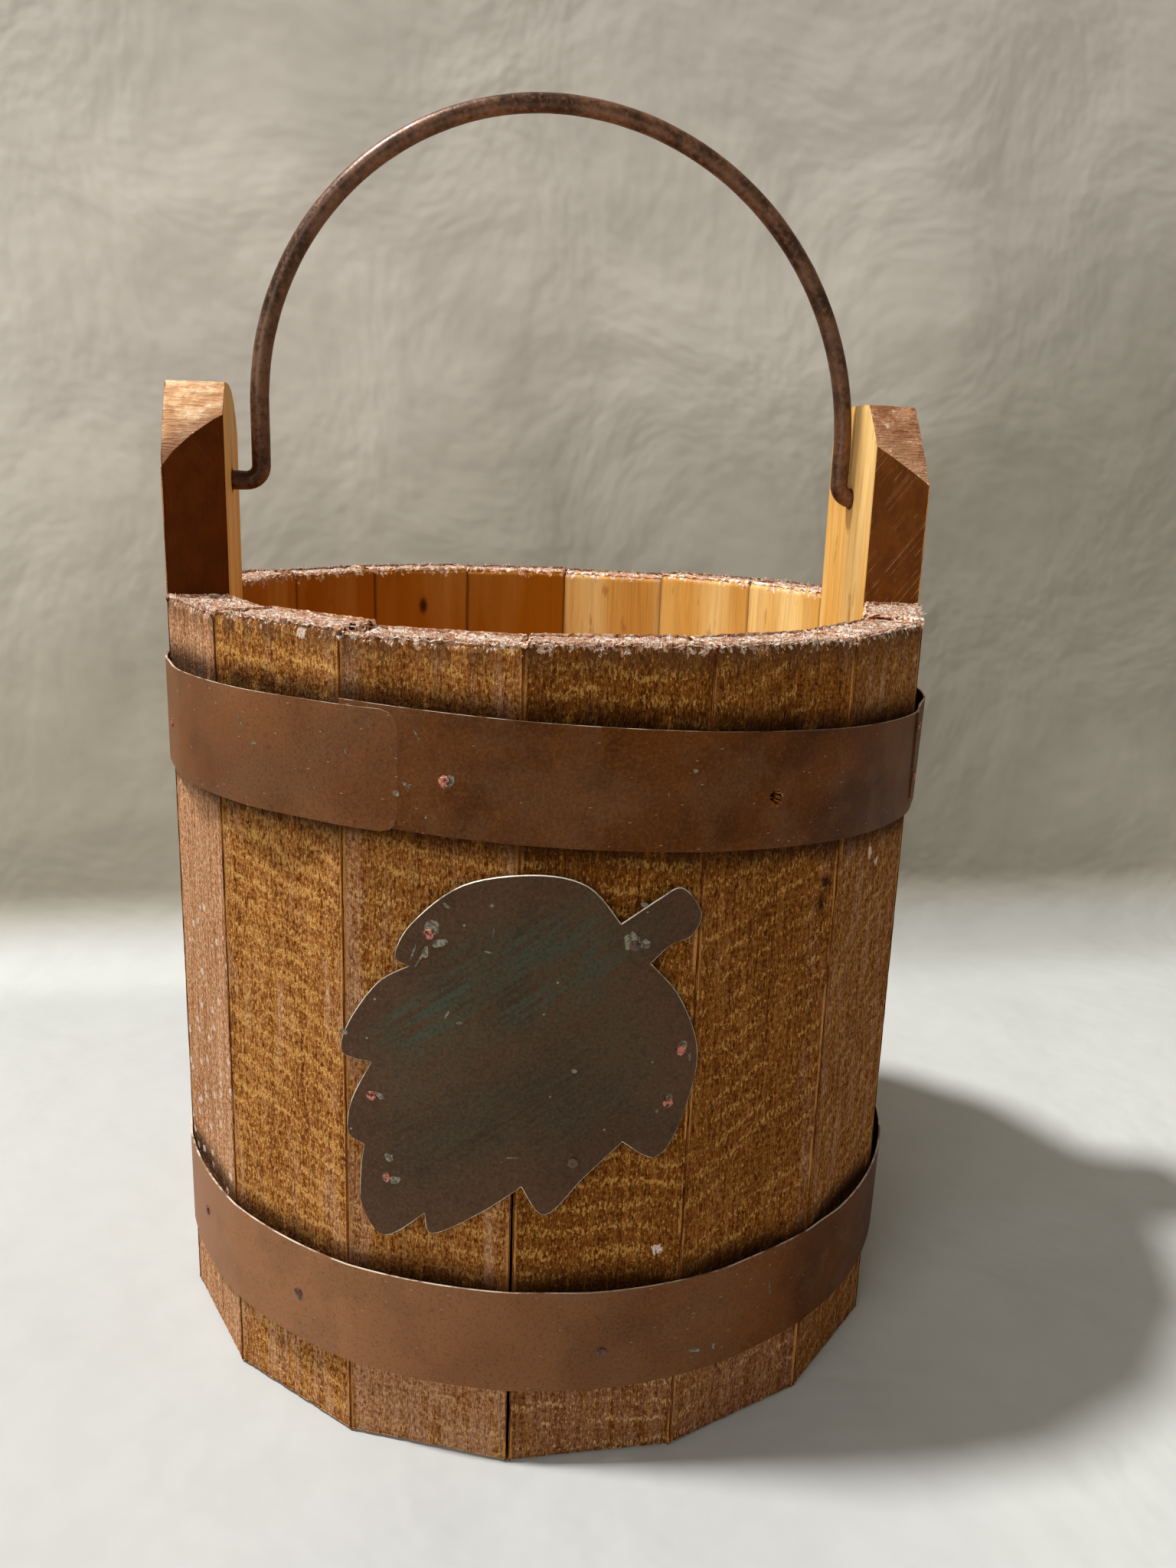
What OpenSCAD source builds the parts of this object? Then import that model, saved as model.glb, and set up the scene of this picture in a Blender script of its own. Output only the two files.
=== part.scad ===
// Wooden pail of straight mitred staves with two ear staves, sheet steel hoops, a leaf plate and a rod bail.
// The origin is on the floor at the middle of the pail. The ears stand left and right, at -X and +X,
// and the leaf plate is on the front, towards -Y. Directions round the pail are in degrees:
// 0 is the right ear, 90 the back, 180 the left ear and 270 the front.

/* [Staves] */
// Width of the outer face of a stave
stave_w = 50.8; // [46:0.1:60]
// Thickness of the stave boards
stave_t = 19; // [12:0.5:25]
// Height of the rim above the floor
rim_h = 251; // [200:1:320]
// How much longer than the rim's height the longest stave was cut
rim_unevenness = 1; // [0:0.1:3]
// Width of the worn arris along a stave's outer edges
arris_w = 0.8; // [0.3:0.1:2]
// How far the arris reaches down the mitred edge
arris_depth = 0.5; // [0.2:0.1:1.5]

/* [Ears] */
// Height of the left ear above the rim
left_ear_rise = 66; // [55:1:90]
// Height of the right ear above the rim
right_ear_rise = 68; // [55:1:90]
// How far the left ear's front corner is cut in at the top
left_front_in = 17; // [8:0.5:20]
// How far the right ear's front corner is cut in at the top
right_front_in = 18; // [8:0.5:20]
// How far below the top the front corners begin
front_corner_drop = 27; // [15:0.5:30]
// How far the front corners' cuts turn outwards from the outer face to the inner one, in degrees
front_cut_turn = 12; // [0:1:20]
// Radius of the left ear's sawn front curve
left_front_r = 53; // [30:1:200]
// Radius of the right ear's sawn front curve
right_front_r = 190; // [30:1:300]
// How far the left ear's back corner is cut in at the top
left_back_in = 25; // [8:0.5:25]
// How far the right ear's back corner is cut in at the top
right_back_in = 17; // [8:0.5:25]
// How far below the top the back corners begin
back_corner_drop = 31; // [15:0.5:34]
// Radius of the sawn curve of the back corners
back_corner_r = 30; // [26:1:60]
// Height of the bail holes above the rim
bail_hole_rise = 35.3; // [25:0.1:40]

/* [Bottom board] */
// Thickness of the bottom board
board_t = 12; // [8:0.5:18]
// Height of the groove for the board above the floor
groove_h = 14; // [8:1:22]
// Depth of the groove in the staves
groove_depth = 6; // [3:0.5:8]
// Clearance round the edge of the board and above it
board_play = 0.3; // [0.1:0.1:1]

/* [Hoops] */
// Width of the hoop strips
hoop_w = 33.5; // [25:0.5:38]
// Thickness of the hoop sheet
hoop_t = 0.6; // [0.5:0.1:1.5]
// Clearance between the inside of a hoop and the corners of the pail
hoop_play = 0.1; // [0.1:0.1:1]
// Clearance between two layers of sheet in a lap
lap_play = 0.05; // [0.05:0.05:0.3]
// Radius of the corners at the ends of a strip, each rounded by three snips
strip_corner_r = 5; // [2:0.5:8]
// Distance of the upper hoop's middle below the rim, front strip
front_strip_drop = 41.25; // [35:0.25:60]
// How far the front strip leans down to the right, in degrees
front_strip_lean = 3.27; // [0:0.01:4]
// How far the front strip leans down to the back, in degrees
front_strip_lean_back = 0.88; // [0:0.01:4]
// Distance of the upper hoop's middle below the rim, back strip
back_strip_drop = 42.4; // [35:0.1:60]
// How far the back strip leans down to the right, in degrees
back_strip_lean = 1.89; // [0:0.01:4]
// How far the back strip leans down to the back, in degrees
back_strip_lean_back = 1.62; // [0:0.01:4]
// Direction of the back strip's end at the front left
left_lap_end = 244.3; // [235:0.1:255]
// Direction of the back strip's end at the right
right_lap_end = 326.2; // [320:0.1:340]
// How far the front strip runs on under the back strip at each lap, in degrees
lap_deg = 8; // [4:0.5:15]
// Height of the lower hoop's middle above the floor
lower_hoop_h = 43; // [32:0.5:60]
// Direction of the lower hoop's lap
lower_lap_at = 96; // [60:1:120]

/* [Leaf plate] */
// Thickness of the leaf's sheet
leaf_t = 0.6; // [0.4:0.1:1.5]
// Gap between the leaf's top and the upper hoop
leaf_top_gap = 8; // [3:0.5:30]
// Gap between the leaf's lowest tip and the lower hoop
leaf_foot_gap = 14; // [3:0.5:30]
// Clearance between the leaf and the corners of the pail
leaf_play = 0.15; // [0.1:0.05:1]

/* [Nails] */
// Radius of a nail's shank
nail_r = 0.9; // [0.6:0.1:1.4]
// Radius of a nail's head
nail_head_r = 1.8; // [1.5:0.1:3]
// Thickness of a nail's head
nail_head_t = 0.7; // [0.4:0.1:1.5]
// Length of a nail under its head
nail_len = 16; // [10:1:18]
// Length of a nail's point
nail_point = 2; // [1:0.5:3]
// Clearance round a nail's shank
nail_play = 0.05; // [0.02:0.01:0.2]
// Radius of the torn hole that a lost nail left in the hoop
torn_hole_r = 2; // [1.2:0.1:3]

/* [Bail] */
// Diameter of the bail's rod
rod_d = 6.35; // [4:0.05:8]
// Clearance round the rod in the holes of the ears
bail_hole_play = 0.6; // [0.3:0.1:1.5]
// Distance of the left leg's middle from the left ear
left_leg_gap = 9.6; // [5:0.1:16]
// Distance of the right leg's middle from the right ear
right_leg_gap = 4.5; // [4.2:0.1:16]
// Bend radius of the rod's middle line at the pins
bend_r = 5; // [4.5:0.1:5]
// Length of each pin from the middle of its leg
pin_len = 22.5; // [14:0.5:22.5]
// Height of the left leg's straight part above the holes
left_leg_h = 24.4; // [16:0.1:60]
// How much wider the radius of the right half is than that of the left half
sweep_extra = 7.6; // [0:0.1:10]

/* [Hidden] */
$fn = 96;
stave_count = 16;
half_turn = 180 / stave_count;
outer_apothem = stave_w / 2 / tan(half_turn);
inner_apothem = outer_apothem - stave_t;
corner_r = outer_apothem / cos(half_turn);
side_count = stave_count / 2 - 1;
// How much longer or shorter the staves were cut, from the left ear to the right one
front_trims = rim_unevenness * [0, 0.8, -0.6, -0.2, -0.5, -0.4, 1];
back_trims = rim_unevenness * [0.5, -0.3, 0, -0.4, -1, 0.2, 0.3];

hoop_in_r = hundredths(corner_r + hoop_play);
back_strip_in_r = hoop_in_r + hoop_t + lap_play;
lap_in_r = hoop_in_r + hoop_t / 2;
front_strip_h = rim_h - front_strip_drop;
back_strip_h = rim_h - back_strip_drop;
lower_lap_from = lower_lap_at - lap_deg / 2;
lower_lap_to = lower_lap_at + lap_deg / 2;
cut_over = 1;

leaf_in_r = hundredths(corner_r + leaf_play);
leaf_at = 270 - half_turn;
leaf_foot_h = lower_hoop_h + hoop_w / 2 + leaf_foot_gap;
over_leaf_h = strip_h(front_strip_h, front_strip_lean, front_strip_lean_back, leaf_at);
leaf_top_h = over_leaf_h - hoop_w / 2 - leaf_top_gap;
// The leaf's outline and nails are drawn in hundredths of the height from its lowest tip to its top
leaf_share = (leaf_top_h - leaf_foot_h) / 100;

bail_h = rim_h + bail_hole_rise;
bail_hole_r = rod_d / 2 + bail_hole_play;
left_leg_x = -hundredths(inner_apothem - left_leg_gap);
right_leg_x = hundredths(inner_apothem - right_leg_gap);
shoulder_r = (right_leg_x - left_leg_x - sweep_extra) / 2;
sweep_r = shoulder_r + sweep_extra;
bail_top_x = left_leg_x + shoulder_r;
right_leg_h = left_leg_h - sweep_extra;

// Each hoop nail is its direction round the pail, and its height over the strip's middle line
// as a share of the strip's width
front_strip_nails = [[249.8, -0.045]];
back_strip_nails = [
    [197.4, -0.07], [150, 0], [90, 0], [30, 0], [right_lap_end + 2, 0.28], [right_lap_end + 2, -0.21]
];
lost_nail = [291.1, -0.06];
lower_hoop_nail_places = [
    [202.9, 0.045], [227.7, -0.01], [270.8, -0.11], [0, 0], [45, 0], [135, 0],
    [lower_lap_at, 0.24], [lower_lap_at, -0.24]
];
// Each leaf nail is its place right of the middle of the leaf and above its foot
leaf_nail_places = [
    [-21.1, 83.5], [27.6, 82.2], [40.3, 53.7], [37.6, 39.7], [14.8, 25.2], [-35.9, 38.5], [-32, 16.7]
];
// Each lobe of the leaf is a smooth line through a few points, from one notch to the next
crown_lobe = [
    [-26.6, 74.7], [-30.1, 76.9], [-25.8, 85.6], [-13.1, 96.5], [3.5, 100], [16.2, 97.4], [24.5, 87.8]
];
stem = [[24.5, 87.8], [33.6, 93.9], [39.3, 96.1], [44.5, 89.5], [42.4, 83.8], [37.1, 81.7], [32.3, 77.3]];
right_lobe = [[32.3, 77.3], [40.6, 67.2], [45.9, 51.5], [41.9, 33.2], [35.8, 24.9], [27.1, 30.1]];
lower_right_lobe = [[27.1, 30.1], [17.9, 21], [8.3, 10.5], [2.2, 18.3]];
bottom_lobe = [[2.2, 18.3], [-8.3, 10], [-20.1, 3.1], [-22.3, 8.3]];
bottom_left_lobe = [[-22.3, 8.3], [-33.2, 0], [-39.5, 7], [-39.8, 16.6], [-38.9, 24.5]];
lower_left_lobe = [[-38.9, 24.5], [-43.5, 27.1], [-42.4, 36.2], [-36.7, 47.6]];
left_lobe = [[-36.7, 47.6], [-45, 48.5], [-43.2, 56.8], [-34.9, 69], [-26.6, 74.7]];
lobes = [
    crown_lobe, stem, right_lobe, lower_right_lobe, bottom_lobe, bottom_left_lobe, lower_left_lobe, left_lobe
];
lobe_steps = 5;

// Rounds a length up, so that pieces that share it meet exactly
function hundredths(length) = ceil(100 * length - 0.001) / 100;

// Half the width between the mitred edges at a distance from the pail's axis
function mitre_y(x) = x * tan(half_turn);

// Cross-section of a stave that points along +X
function stave_section() = let(arris_x = outer_apothem - arris_depth, face_y = stave_w / 2 - arris_w) [
    [inner_apothem, -mitre_y(inner_apothem)], [arris_x, -mitre_y(arris_x)],
    [outer_apothem, -face_y], [outer_apothem, face_y],
    [arris_x, mitre_y(arris_x)], [inner_apothem, mitre_y(inner_apothem)]
];

// Height of a leaning strip's middle line at a direction round the pail
function strip_h(h, lean, lean_back, at) =
    h - corner_r * (cos(at) * tan(lean) + sin(at) * tan(lean_back));

function front_strip_place(nail) =
    [nail[0], strip_h(front_strip_h, front_strip_lean, front_strip_lean_back, nail[0]) + nail[1] * hoop_w];
function back_strip_place(nail) =
    [nail[0], strip_h(back_strip_h, back_strip_lean, back_strip_lean_back, nail[0]) + nail[1] * hoop_w];
function lower_hoop_place(nail) = [nail[0], lower_hoop_h + nail[1] * hoop_w];
function leaf_place(nail) =
    [leaf_at + asin(nail[0] * leaf_share / leaf_in_r), leaf_foot_h + nail[1] * leaf_share];

// Directions and heights of all the nails, which the staves are drilled for
wood_nails = concat(
    [for (nail = front_strip_nails) front_strip_place(nail)],
    [for (nail = back_strip_nails) back_strip_place(nail)],
    [front_strip_place(lost_nail)],
    [for (nail = lower_hoop_nail_places) lower_hoop_place(nail)],
    [for (nail = leaf_nail_places) leaf_place(nail)]
);

// Smallest turn between two directions
function turn_between(a, b) = abs((a - b + 900) % 360 - 180);

// Smooth line through four points, drawn between the middle two
function smooth(a, b, c, d, u) =
    (2 * b + (c - a) * u + (2 * a - 5 * b + 4 * c - d) * u * u + (3 * b - a - 3 * c + d) * u * u * u) / 2;
function lobe_line(p) = [
    for (i = [0:len(p) - 2], k = [0:lobe_steps - 1])
        smooth(p[max(i - 1, 0)], p[i], p[i + 1], p[min(i + 2, len(p) - 1)], k / lobe_steps)
];
leaf_outline = leaf_share * [for (lobe = lobes) each lobe_line(lobe)];

// A hole straight towards the pail's axis, drilled from outside down to a radius
module radial_hole(at, h, r, to_r) {
    rotate([0, 0, at])
        translate([to_r, 0, h])
            rotate([0, 90, 0])
                cylinder(r = r, h = corner_r + 4 * hoop_t + cut_over - to_r);
}

// Nail holes of the stave that points along a direction
module nail_holes(at) {
    reach = half_turn + asin(2 * nail_r / inner_apothem);
    for (place = wood_nails)
        if (turn_between(place[0], at) < reach)
            radial_hole(place[0], place[1], nail_r + nail_play, corner_r - nail_len);
}

module stave_blank(length) {
    difference() {
        linear_extrude(length)
            polygon(stave_section());
        translate([inner_apothem - cut_over, -stave_w / 2, groove_h])
            cube([groove_depth + cut_over, stave_w, board_t + board_play]);
    }
}

module stave(at, trim) {
    color("saddlebrown")
        difference() {
            rotate([0, 0, at])
                stave_blank(rim_h + trim);
            nail_holes(at);
        }
}

module front_stave(i) {
    stave(180 + 2 * half_turn * i, front_trims[(i - 1) % len(front_trims)]);
}

module back_stave(i) {
    stave(180 - 2 * half_turn * i, back_trims[(i - 1) % len(back_trims)]);
}

// Waste outside the curve of a rounded corner; the piece lies left of and below the corner at the origin
module corner_waste(in, drop, curve_r) {
    chord = sqrt(in * in + drop * drop);
    r = max(curve_r, chord / 2 + cut_over);
    sink = sqrt(r * r - chord * chord / 4);
    difference() {
        translate([-in - cut_over / 2, -drop - cut_over / 2])
            square([in + 2 * cut_over, drop + 2 * cut_over]);
        translate([-in / 2 - sink * drop / chord, -drop / 2 - sink * in / chord])
            circle(r);
    }
}

// Waste at one top corner of an ear; side is 1 or -1 along Y. The cut turns about the outer corner
module ear_corner_waste(side, top, in, drop, curve_r, turn = 0) {
    inwards = (stave_t + cut_over) / cos(turn);
    outwards = in * tan(turn) + 2 * cut_over;
    translate([outer_apothem, side * stave_w / 2, top])
        rotate([0, 0, -side * turn])
            translate([-inwards, 0, 0])
                rotate([90, 0, 90])
                    linear_extrude(inwards + outwards)
                        mirror([side < 0 ? 1 : 0, 0])
                            corner_waste(in, drop, curve_r);
}

// An ear stave that points along +X; front_side says on which side of it the front is
module ear_stave(at, rise, front_side, front_in, front_r, back_in) {
    top = rim_h + rise;
    color("saddlebrown")
        difference() {
            rotate([0, 0, at])
                difference() {
                    stave_blank(top);
                    ear_corner_waste(front_side, top, front_in, front_corner_drop, front_r, front_cut_turn);
                    ear_corner_waste(-front_side, top, back_in, back_corner_drop, back_corner_r);
                    translate([inner_apothem - cut_over, 0, bail_h])
                        rotate([0, 90, 0])
                            cylinder(r = bail_hole_r, h = stave_t + 2 * cut_over);
                }
            nail_holes(at);
        }
}

module left_ear_stave() {
    ear_stave(180, left_ear_rise, 1, left_front_in, left_front_r, left_back_in);
}

module right_ear_stave() {
    ear_stave(0, right_ear_rise, -1, right_front_in, right_front_r, right_back_in);
}

module bottom_board() {
    board_r = (inner_apothem + groove_depth - board_play) / cos(half_turn);
    color("burlywood")
        translate([0, 0, groove_h])
            linear_extrude(board_t)
                polygon([
                    for (i = [0:stave_count - 1])
                        board_r * [cos((2 * i + 1) * half_turn), sin((2 * i + 1) * half_turn)]
                ]);
}

// A band of sheet between two leaning planes, from one direction to another
module strip(in_r, from, to, h, lean, lean_back, thick = hoop_t) {
    intersection() {
        rotate([0, 0, from])
            rotate_extrude(angle = to - from)
                translate([in_r, h - hoop_w])
                    square([thick, 2 * hoop_w]);
        translate([0, 0, h])
            rotate([-lean_back, lean, 0])
                cube([3 * in_r, 3 * in_r, hoop_w], center = true);
    }
}

// Three snips that round a strip's corner; the strip lies left of and below the corner at the origin
module snips() {
    r = strip_corner_r;
    for (turn = [22.5, 45, 67.5])
        translate([-r, -r])
            rotate(turn)
                translate([r, -r])
                    square([r, 2 * r]);
}

// Waste at both corners of a strip's end; side is 1 where the strip runs on anticlockwise
module strip_end_waste(in_r, at, h, side) {
    rotate([0, 0, at])
        translate([in_r - cut_over, 0, h])
            rotate([90, 0, 90])
                linear_extrude(hoop_t + 2 * cut_over)
                    for (edge = [-1, 1])
                        translate([0, edge * hoop_w / 2])
                            mirror([side > 0 ? 1 : 0, 0])
                                mirror([0, edge < 0 ? 1 : 0])
                                    snips();
}

module sheet_holes(places) {
    for (place = places)
        radial_hole(place[0], place[1], nail_r + nail_play, corner_r - cut_over);
}

module upper_hoop_front_strip() {
    torn = front_strip_place(lost_nail);
    color("saddlebrown")
        difference() {
            strip(
                hoop_in_r, left_lap_end - lap_deg, right_lap_end + lap_deg,
                front_strip_h, front_strip_lean, front_strip_lean_back
            );
            sheet_holes([for (nail = front_strip_nails) front_strip_place(nail)]);
            sheet_holes([for (nail = back_strip_nails) back_strip_place(nail)]);
            radial_hole(torn[0], torn[1], torn_hole_r, corner_r - cut_over);
        }
}

module upper_hoop_back_strip() {
    color("saddlebrown")
        difference() {
            strip(
                back_strip_in_r, right_lap_end, left_lap_end + 360,
                back_strip_h, back_strip_lean, back_strip_lean_back
            );
            strip_end_waste(
                back_strip_in_r, right_lap_end,
                strip_h(back_strip_h, back_strip_lean, back_strip_lean_back, right_lap_end), 1
            );
            strip_end_waste(
                back_strip_in_r, left_lap_end,
                strip_h(back_strip_h, back_strip_lean, back_strip_lean_back, left_lap_end), -1
            );
            sheet_holes([for (nail = back_strip_nails) back_strip_place(nail)]);
        }
}

// One strip closed on itself: its tail lies on its own outside at the lap
module lower_hoop() {
    color("saddlebrown")
        difference() {
            union() {
                strip(hoop_in_r, 0, 360, lower_hoop_h, 0, 0);
                difference() {
                    strip(lap_in_r, lower_lap_from, lower_lap_to, lower_hoop_h, 0, 0, 1.5 * hoop_t);
                    strip_end_waste(hoop_in_r + hoop_t, lower_lap_from, lower_hoop_h, 1);
                }
            }
            sheet_holes([for (nail = lower_hoop_nail_places) lower_hoop_place(nail)]);
        }
}

module leaf_plate() {
    color("dimgray")
        difference() {
            intersection() {
                rotate_extrude()
                    translate([leaf_in_r, 0])
                        square([leaf_t, rim_h]);
                rotate([0, 0, leaf_at])
                    translate([0, 0, leaf_foot_h])
                        rotate([90, 0, 90])
                            linear_extrude(leaf_in_r + 2 * leaf_t)
                                polygon(leaf_outline);
            }
            sheet_holes([for (nail = leaf_nail_places) leaf_place(nail)]);
        }
}

// A nail driven towards the pail's axis, with its head on a sheet of this outer radius
module nail(place, sheet_r) {
    rotate([0, 0, place[0]])
        translate([sheet_r, 0, place[1]])
            rotate([0, 90, 0]) {
                cylinder(r1 = nail_head_r, r2 = nail_head_r * 0.85, h = nail_head_t);
                translate([0, 0, nail_point - nail_len])
                    cylinder(r = nail_r, h = nail_len - nail_point);
                translate([0, 0, -nail_len])
                    cylinder(r1 = nail_r / 4, r2 = nail_r, h = nail_point);
            }
}

module upper_hoop_nails() {
    color("indianred") {
        for (place = front_strip_nails)
            nail(front_strip_place(place), hoop_in_r + hoop_t);
        for (place = back_strip_nails)
            nail(back_strip_place(place), back_strip_in_r + hoop_t);
    }
}

module lower_hoop_nails() {
    color("indianred")
        for (place = lower_hoop_nail_places) {
            layers = turn_between(place[0], lower_lap_at) < lap_deg / 2 ? 2 : 1;
            nail(lower_hoop_place(place), hoop_in_r + layers * hoop_t);
        }
}

module leaf_plate_nails() {
    color("indianred")
        for (place = leaf_nail_places)
            nail(leaf_place(place), leaf_in_r + leaf_t);
}

// A bend of the rod in the XZ plane, round a middle at x and z
module rod_bend(x, z, r, from, turn) {
    translate([x, 0, z])
        rotate([90, 0, 0])
            rotate([0, 0, from])
                rotate_extrude(angle = turn)
                    translate([r, 0])
                        circle(d = rod_d);
}

module rod_leg(x, top) {
    translate([x, 0, bend_r])
        cylinder(d = rod_d, h = top - bend_r);
}

module rod_pin(from_x) {
    translate([from_x, 0, 0])
        rotate([0, 90, 0])
            cylinder(d = rod_d, h = pin_len - bend_r);
}

module bail_handle() {
    color("saddlebrown")
        translate([0, 0, bail_h]) {
            rod_pin(left_leg_x - pin_len);
            rod_bend(left_leg_x - bend_r, bend_r, bend_r, -90, 90);
            rod_leg(left_leg_x, left_leg_h);
            rod_bend(bail_top_x, left_leg_h, shoulder_r, 90, 90);
            rod_bend(bail_top_x, right_leg_h, sweep_r, 0, 90);
            rod_leg(right_leg_x, right_leg_h);
            rod_bend(right_leg_x + bend_r, bend_r, bend_r, 180, 90);
            rod_pin(right_leg_x + bend_r);
        }
}

for (i = [1:side_count]) {
    front_stave(i);
    back_stave(i);
}
left_ear_stave();
right_ear_stave();
bottom_board();
upper_hoop_front_strip();
upper_hoop_back_strip();
lower_hoop();
leaf_plate();
upper_hoop_nails();
lower_hoop_nails();
leaf_plate_nails();
bail_handle();
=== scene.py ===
import math
import random

import bmesh
import bpy
from mathutils import Matrix, Vector


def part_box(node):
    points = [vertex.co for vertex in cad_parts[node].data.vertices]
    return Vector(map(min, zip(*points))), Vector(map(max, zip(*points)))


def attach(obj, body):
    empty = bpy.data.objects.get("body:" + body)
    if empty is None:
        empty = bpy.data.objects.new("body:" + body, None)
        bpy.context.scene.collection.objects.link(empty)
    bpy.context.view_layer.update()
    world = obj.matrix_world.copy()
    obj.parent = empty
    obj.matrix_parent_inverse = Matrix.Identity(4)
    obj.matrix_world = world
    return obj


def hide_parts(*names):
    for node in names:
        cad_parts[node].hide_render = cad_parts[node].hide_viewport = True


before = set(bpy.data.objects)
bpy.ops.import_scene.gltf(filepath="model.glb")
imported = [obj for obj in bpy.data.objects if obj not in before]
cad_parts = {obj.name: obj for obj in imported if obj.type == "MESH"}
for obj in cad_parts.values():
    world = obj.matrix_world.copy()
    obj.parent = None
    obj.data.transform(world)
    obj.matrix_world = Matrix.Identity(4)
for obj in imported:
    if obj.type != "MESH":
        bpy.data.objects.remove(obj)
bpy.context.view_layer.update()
print("frame loaded")

# The pail stands on the floor with its ears left and right and the leaf towards the front, -Y
# Directions round the pail are in degrees: 0 right ear, 90 back, 180 left ear, 270 front
view = {
    "place": (-0.0643, -0.4426, 0.2935),
    "turn": 10.226,  # degrees right of straight back
    "down": 14.145,
    "roll": 1.971,
    "lens": 38.146,  # mm, on a sensor 36 mm wide
}


def placeCamera():
    camera = bpy.data.objects.new("camera", bpy.data.cameras.new("camera"))
    bpy.context.scene.collection.objects.link(camera)
    camera.data.sensor_fit = "HORIZONTAL"
    camera.data.sensor_width = 36
    camera.data.lens = view["lens"]
    camera.data.clip_start = 0.02
    heading = Matrix.Rotation(-math.radians(view["turn"]), 4, "Z")
    tilt = Matrix.Rotation(math.radians(90 - view["down"]), 4, "X")
    roll = Matrix.Rotation(math.radians(view["roll"]), 4, "Z")
    camera.matrix_world = Matrix.Translation(view["place"]) @ heading @ tilt @ roll
    bpy.context.scene.camera = camera


placeCamera()
print("camera placed")


# Selecting and editing

def deselectAll():
    bpy.ops.object.select_all(action="DESELECT")


def makeActive(piece):
    deselectAll()
    piece.select_set(True)
    bpy.context.view_layer.objects.active = piece


def startEdit(piece, kind="VERT"):
    makeActive(piece)
    bpy.ops.object.mode_set(mode="EDIT")
    bpy.ops.mesh.select_mode(type=kind)
    bpy.ops.mesh.select_all(action="SELECT")


def endEdit():
    bpy.ops.object.mode_set(mode="OBJECT")


def pick(piece, kind, test):
    bpy.ops.mesh.select_mode(type=kind)
    bpy.ops.mesh.select_all(action="DESELECT")
    mesh = bmesh.from_edit_mesh(piece.data)
    parts = {"VERT": mesh.verts, "EDGE": mesh.edges, "FACE": mesh.faces}[kind]
    for part in parts:
        if test(part):
            part.select_set(True)
    bmesh.update_edit_mesh(piece.data)


def cutThrough(place, normal, clear=False):
    bpy.ops.mesh.select_all(action="SELECT")
    bpy.ops.mesh.bisect(plane_co=place, plane_no=normal, use_fill=clear, clear_outer=clear)


def cutGrid(piece, axis, places):
    startEdit(piece)
    for place in places:
        cutThrough(axis * place, axis)
    endEdit()


def evenly(start, stop, count):
    return [start + (stop - start) * (i + 1) / count for i in range(count - 1)]


def finishWith(piece, kind, **settings):
    makeActive(piece)
    bpy.ops.object.modifier_add(type=kind)
    modifier = piece.modifiers[-1]
    for name, value in settings.items():
        setattr(modifier, name, value)
    bpy.ops.object.modifier_apply(modifier=modifier.name)


def settle(piece):
    makeActive(piece)
    bpy.ops.object.transform_apply(location=True, rotation=True, scale=True)


def addBlock(name, centre, size):
    deselectAll()
    bpy.ops.mesh.primitive_cube_add(size=1, location=centre)
    piece = bpy.context.object
    piece.name = name
    piece.scale = size
    settle(piece)
    return piece


def copyPiece(piece, name):
    twin = piece.copy()
    twin.data = piece.data.copy()
    twin.name = name
    bpy.context.scene.collection.objects.link(twin)
    return twin


def dropPiece(piece):
    bpy.data.objects.remove(piece, do_unlink=True)


def weigh(piece, group, weightOf):
    weights = piece.vertex_groups.new(name=group)
    for vertex in piece.data.vertices:
        weight = weightOf(vertex.co)
        if weight > 0:
            weights.add([vertex.index], min(weight, 1), "REPLACE")


def roughen(piece, group, depth, grain, place, detail=3, level=1.0):
    # grain is the size of the marks along X, Y and Z
    space = bpy.data.objects.new("space", None)
    bpy.context.scene.collection.objects.link(space)
    space.location = place
    space.scale = grain
    clouds = bpy.data.textures.new("clouds", "CLOUDS")
    clouds.noise_scale = 1
    clouds.noise_depth = detail
    bpy.context.view_layer.update()
    finishWith(
        piece, "DISPLACE", texture=clouds, texture_coords="OBJECT", texture_coords_object=space,
        vertex_group=group, strength=depth, mid_level=level
    )
    bpy.data.objects.remove(space)
    bpy.data.textures.remove(clouds)


def paint(piece, name, valueOf):
    layer = piece.data.attributes.new(name, "FLOAT", "POINT")
    layer.data.foreach_set("value", [valueOf(vertex.co) for vertex in piece.data.vertices])


# Node tools for the materials

def colour(red, green, blue):
    def straight(part):
        part = part / 255
        return part / 12.92 if part <= 0.04045 else ((part + 0.055) / 1.055) ** 2.4
    return (straight(red), straight(green), straight(blue), 1)


def addNode(tree, kind, inputs=None, **settings):
    new = tree.nodes.new(kind)
    for name, value in settings.items():
        setattr(new, name, value)
    for name, value in (inputs or {}).items():
        if isinstance(value, bpy.types.NodeSocket):
            tree.links.new(value, new.inputs[name])
        else:
            new.inputs[name].default_value = value
    return new


def calc(tree, how, first, second=0.0, third=0.0):
    return addNode(tree, "ShaderNodeMath", {0: first, 1: second, 2: third}, operation=how).outputs[0]


def blendColour(tree, mask, under, over, how="MIX"):
    mix = addNode(
        tree, "ShaderNodeMix", {0: mask, 6: under, 7: over}, data_type="RGBA", blend_type=how
    )
    return mix.outputs[2]


def blendValue(tree, mask, under, over):
    return addNode(tree, "ShaderNodeMix", {0: mask, 2: under, 3: over}, data_type="FLOAT").outputs[0]


def window(tree, value, low, high):
    # 0 below low, 1 above high, smooth between; low may be the higher one
    found = addNode(
        tree, "ShaderNodeMapRange", {0: value, 1: low, 2: high, 3: 0.0, 4: 1.0},
        interpolation_type="SMOOTHSTEP"
    )
    return found.outputs[0]


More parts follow.
